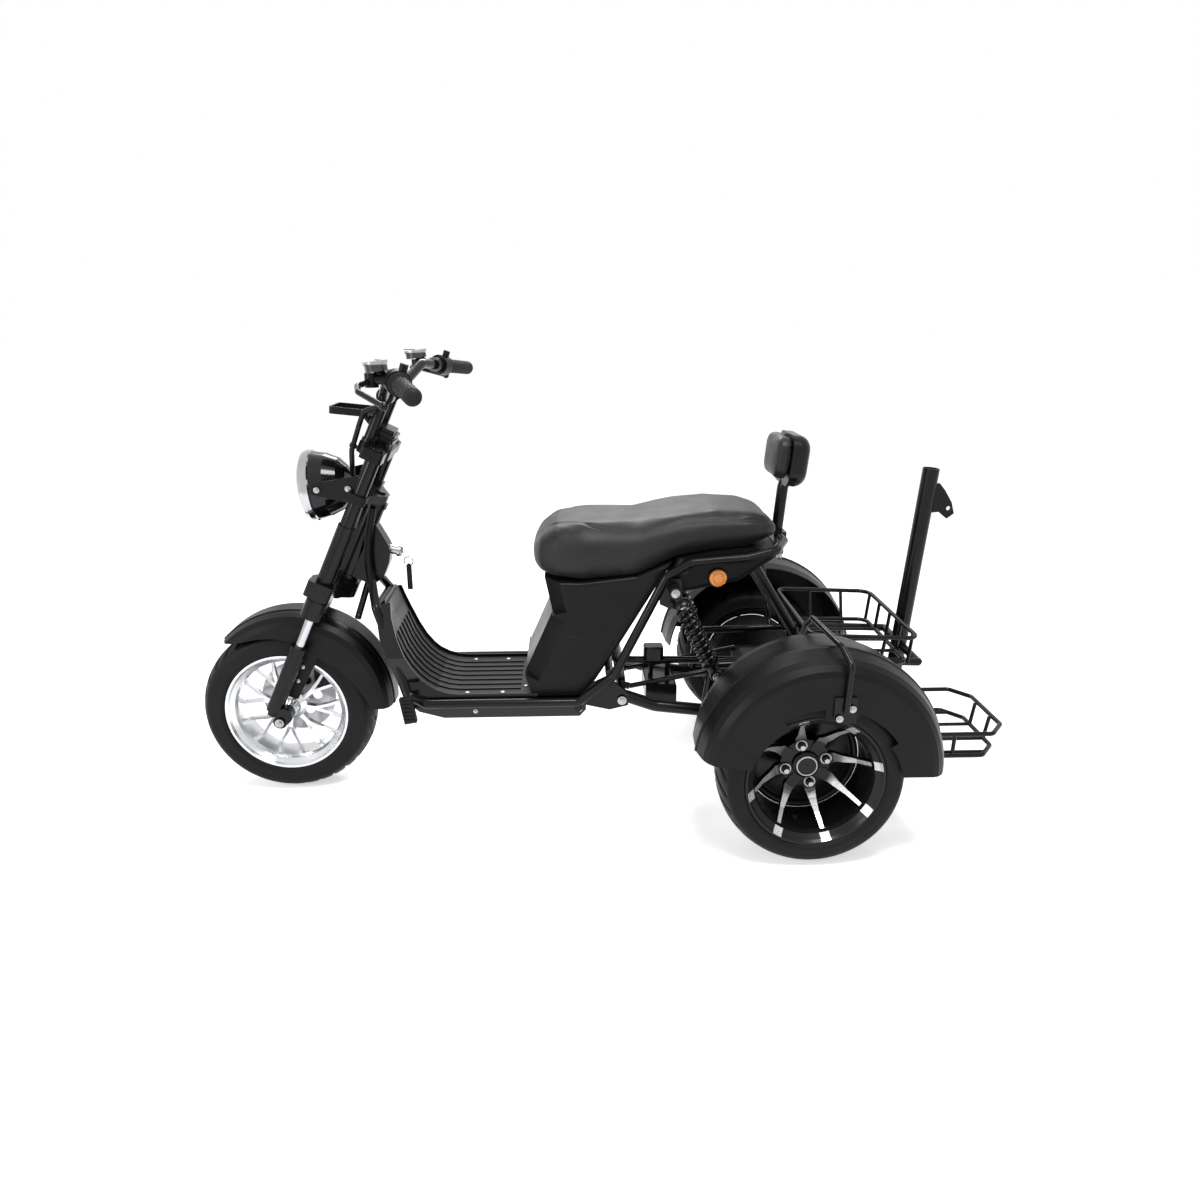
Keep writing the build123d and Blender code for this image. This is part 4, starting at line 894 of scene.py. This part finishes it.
def add_rim_backs():
    """Inner wall of each rear rim behind its blades, out to the barrel, and its valve."""
    for side, word in SIDES:
        out = LEFT * side
        back = Shape()
        face = [(96, -40), (104, -39), (108, -30), (112, -28), (118, -30)]
        rows = face + [(118, -36), (110, -36), (96, -43)]
        back.lathe(rows, (0, side * HUB_Y, REAR_R), out, 96, closed=True)
        back.done("rear_" + word + "_rim_back", "rear_" + word + "_wheel", "cast_grey")
        plug = Shape()
        rows = [(0, 6), (5, 6), (6, 5), (6, 0), (0, 0)]
        plug.lathe(rows, (20, side * (HUB_Y + 18), REAR_R - 117), TOP, 20)
        plug.done("rear_" + word + "_rim_plug", "rear_" + word + "_wheel", "rubber")


# Lines pressed in the seat box's side: x, z
BOX_EDGE = [(300, 536), (352, 452), (398, 384), (428, 318), (470, 286), (548, 282)]
BOX_FOLD = [(410, 380), (452, 398), (488, 404)]


def add_box_lines():
    lines = Shape()
    for side, _ in SIDES:
        for rows in (BOX_EDGE, BOX_FOLD):
            lines.hose([(x, side * 127.6, z) for x, z in rows], 1.6, 0.0, 8, 10.0)
    lines.done("seat_box_lines", "chassis", "plastic_black", sharp=60.0)


# Floor screws: x, y
FLOOR_SCREWS = [(588, 70), (588, -70), (640, 104), (640, -104), (720, 104), (720, -104)]
FLOOR_TOP = 266.0
# Footpegs: the middle of the pad, its lean, and its ribs
PEG_X = 842.0
PEG_Y = 180.4
PEG_Z = 256.0
PEG_LEAN = 0.16
PEG_RIBS = 6
PEG_STEP = 9.0


def add_floor_screws():
    """Screws in the floorboard, and the rubber ribs on the footpegs' pads."""
    screws = Shape()
    for x, y in FLOOR_SCREWS:
        screws.disc(5.2, 1.6, (x, y, FLOOR_TOP), TOP, 24, 0.5)
        screws.disc(2.2, 1.0, (x, y, FLOOR_TOP + 1.4), TOP, 6, 0.2)
    screws.done("floor_screws", "chassis", "steel")
    ribs = Shape()
    for side, _ in SIDES:
        for i in range(PEG_RIBS):
            rise = PEG_STEP * (i - (PEG_RIBS - 1) / 2)
            centre = (PEG_X + PEG_LEAN * rise, side * PEG_Y, PEG_Z + rise)
            ribs.slab((21, 4.4, 3.4), centre, TOP, 0.0, 1.0)
    ribs.done("footpeg_ribs", "chassis", "rubber")


def dress_frame():
    """Every solid that stays gets its slot's material."""
    for row in frame["record"]["subparts"]:
        obj = nodes[row["node"]]
        obj.data.materials.clear()
        obj.data.materials.append(M[row["material_slot"]])
    cups = nodes["fluid_cups"]
    cups.data.materials.clear()
    cups.data.materials.append(cup_metal_painted_shade())


# Camera, light and floor

CAMERA_AT = (479.0, 2011.0, 1084.5)
FOCAL_PX = 909.0
PHOTO_PX = 1200.0
PITCH = 0.306
YAW = -0.0315
ROLL = -0.003


def add_camera():
    data = bpy.data.cameras.new("camera")
    data.sensor_width = 36.0
    data.lens = FOCAL_PX / PHOTO_PX * data.sensor_width
    data.clip_end = 100.0
    camera = bpy.data.objects.new("camera", data)
    bpy.context.scene.collection.objects.link(camera)
    ahead = Vector(
        (
            math.sin(YAW) * math.cos(PITCH),
            -math.cos(YAW) * math.cos(PITCH),
            -math.sin(PITCH),
        )
    )
    right = ahead.cross(TOP).normalized()
    up = right.cross(ahead)
    side = right * math.cos(ROLL) + up * math.sin(ROLL)
    top = up * math.cos(ROLL) - right * math.sin(ROLL)
    turn = Matrix((side, top, -ahead)).transposed()
    camera.matrix_world = Matrix.Translation(at(*CAMERA_AT)) @ turn.to_4x4()
    bpy.context.scene.camera = camera


def add_lamp(name, place, target, size, power, size_y=None):
    data = bpy.data.lights.new(name, "AREA")
    data.shape = "RECTANGLE"
    data.size = size
    data.size_y = size_y or size
    data.energy = power
    lamp = bpy.data.objects.new(name, data)
    lamp.location = place
    lamp.rotation_euler = (Vector(target) - Vector(place)).to_track_quat("-Z", "Y").to_euler()
    bpy.context.scene.collection.objects.link(lamp)


def seen_directly(tree):
    """1 for what the camera, a reflection or glass sees, 0 for light that falls on things."""
    path = tree.nodes.new("ShaderNodeLightPath")
    total = path.outputs["Is Camera Ray"]
    for ray in ("Is Glossy Ray", "Is Transmission Ray"):
        both = tree.nodes.new("ShaderNodeMath")
        both.operation = "MAXIMUM"
        tree.links.new(total, both.inputs[0])
        tree.links.new(path.outputs[ray], both.inputs[1])
        total = both.outputs[0]
    return total


WORLD_FILL = 0.5
FLOOR_GLOW = 0.56


def add_world():
    world = bpy.data.worlds.new("world")
    bpy.context.scene.world = world
    world.use_nodes = True
    tree = world.node_tree
    background = tree.nodes["Background"]
    background.inputs["Color"].default_value = (1.0, 1.0, 1.0, 1.0)
    strength = tree.nodes.new("ShaderNodeMapRange")
    strength.inputs["To Min"].default_value = WORLD_FILL
    strength.inputs["To Max"].default_value = 1.0
    tree.links.new(seen_directly(tree), strength.inputs["Value"])
    tree.links.new(strength.outputs["Result"], background.inputs["Strength"])


def add_floor():
    """A white floor that takes the trike's shadow and runs into the white behind it."""
    bm = bmesh.new()
    bmesh.ops.create_grid(bm, x_segments=1, y_segments=1, size=40.0)
    mesh = bpy.data.meshes.new("floor")
    bm.to_mesh(mesh)
    bm.free()
    floor = bpy.data.objects.new("floor", mesh)
    bpy.context.scene.collection.objects.link(floor)
    f = Finish("floor", (0.9, 0.9, 0.9), Roughness=0.85, Specular_IOR_Level=0.0)
    f.feed("Base Color", f.blend(f.noise(0.6, 2.0), (0.89, 0.89, 0.89), (0.91, 0.91, 0.91)))
    tree = f.tree
    glow = tree.nodes.new("ShaderNodeEmission")
    strength = tree.nodes.new("ShaderNodeMath")
    strength.operation = "MULTIPLY"
    strength.inputs[1].default_value = FLOOR_GLOW
    tree.links.new(seen_directly(tree), strength.inputs[0])
    tree.links.new(strength.outputs[0], glow.inputs["Strength"])
    both = tree.nodes.new("ShaderNodeAddShader")
    tree.links.new(f.surface.outputs[0], both.inputs[0])
    tree.links.new(glow.outputs[0], both.inputs[1])
    tree.links.new(both.outputs[0], tree.nodes["Material Output"].inputs["Surface"])
    mesh.materials.append(f.material)


def add_stage():
    view = bpy.context.scene.view_settings
    view.view_transform = "Standard"
    add_world()
    add_floor()
    add_lamp("key", (-0.4, 1.2, 2.8), (0, 0, 0.3), 1.2, 60.0, 0.7)
    add_lamp("rim", (0.2, -2.2, 2.4), (0, 0, 0.4), 1.6, 45.0, 0.6)
    add_lamp("front", (2.4, 1.8, 1.4), (0.4, 0, 0.4), 0.6, 26.0, 1.2)


add_camera()
add_stage()
dress_frame()
add_tyres()
add_shocks()
add_seat()
add_backrest_pad()
add_grips()
add_headlamp()
add_cup_trim()
add_rim_backs()
add_box_lines()
add_floor_screws()
add_bolts()
add_wheel_nuts()
add_lock()
add_sleeve()
add_loom_clip()
add_reflector_lenses()
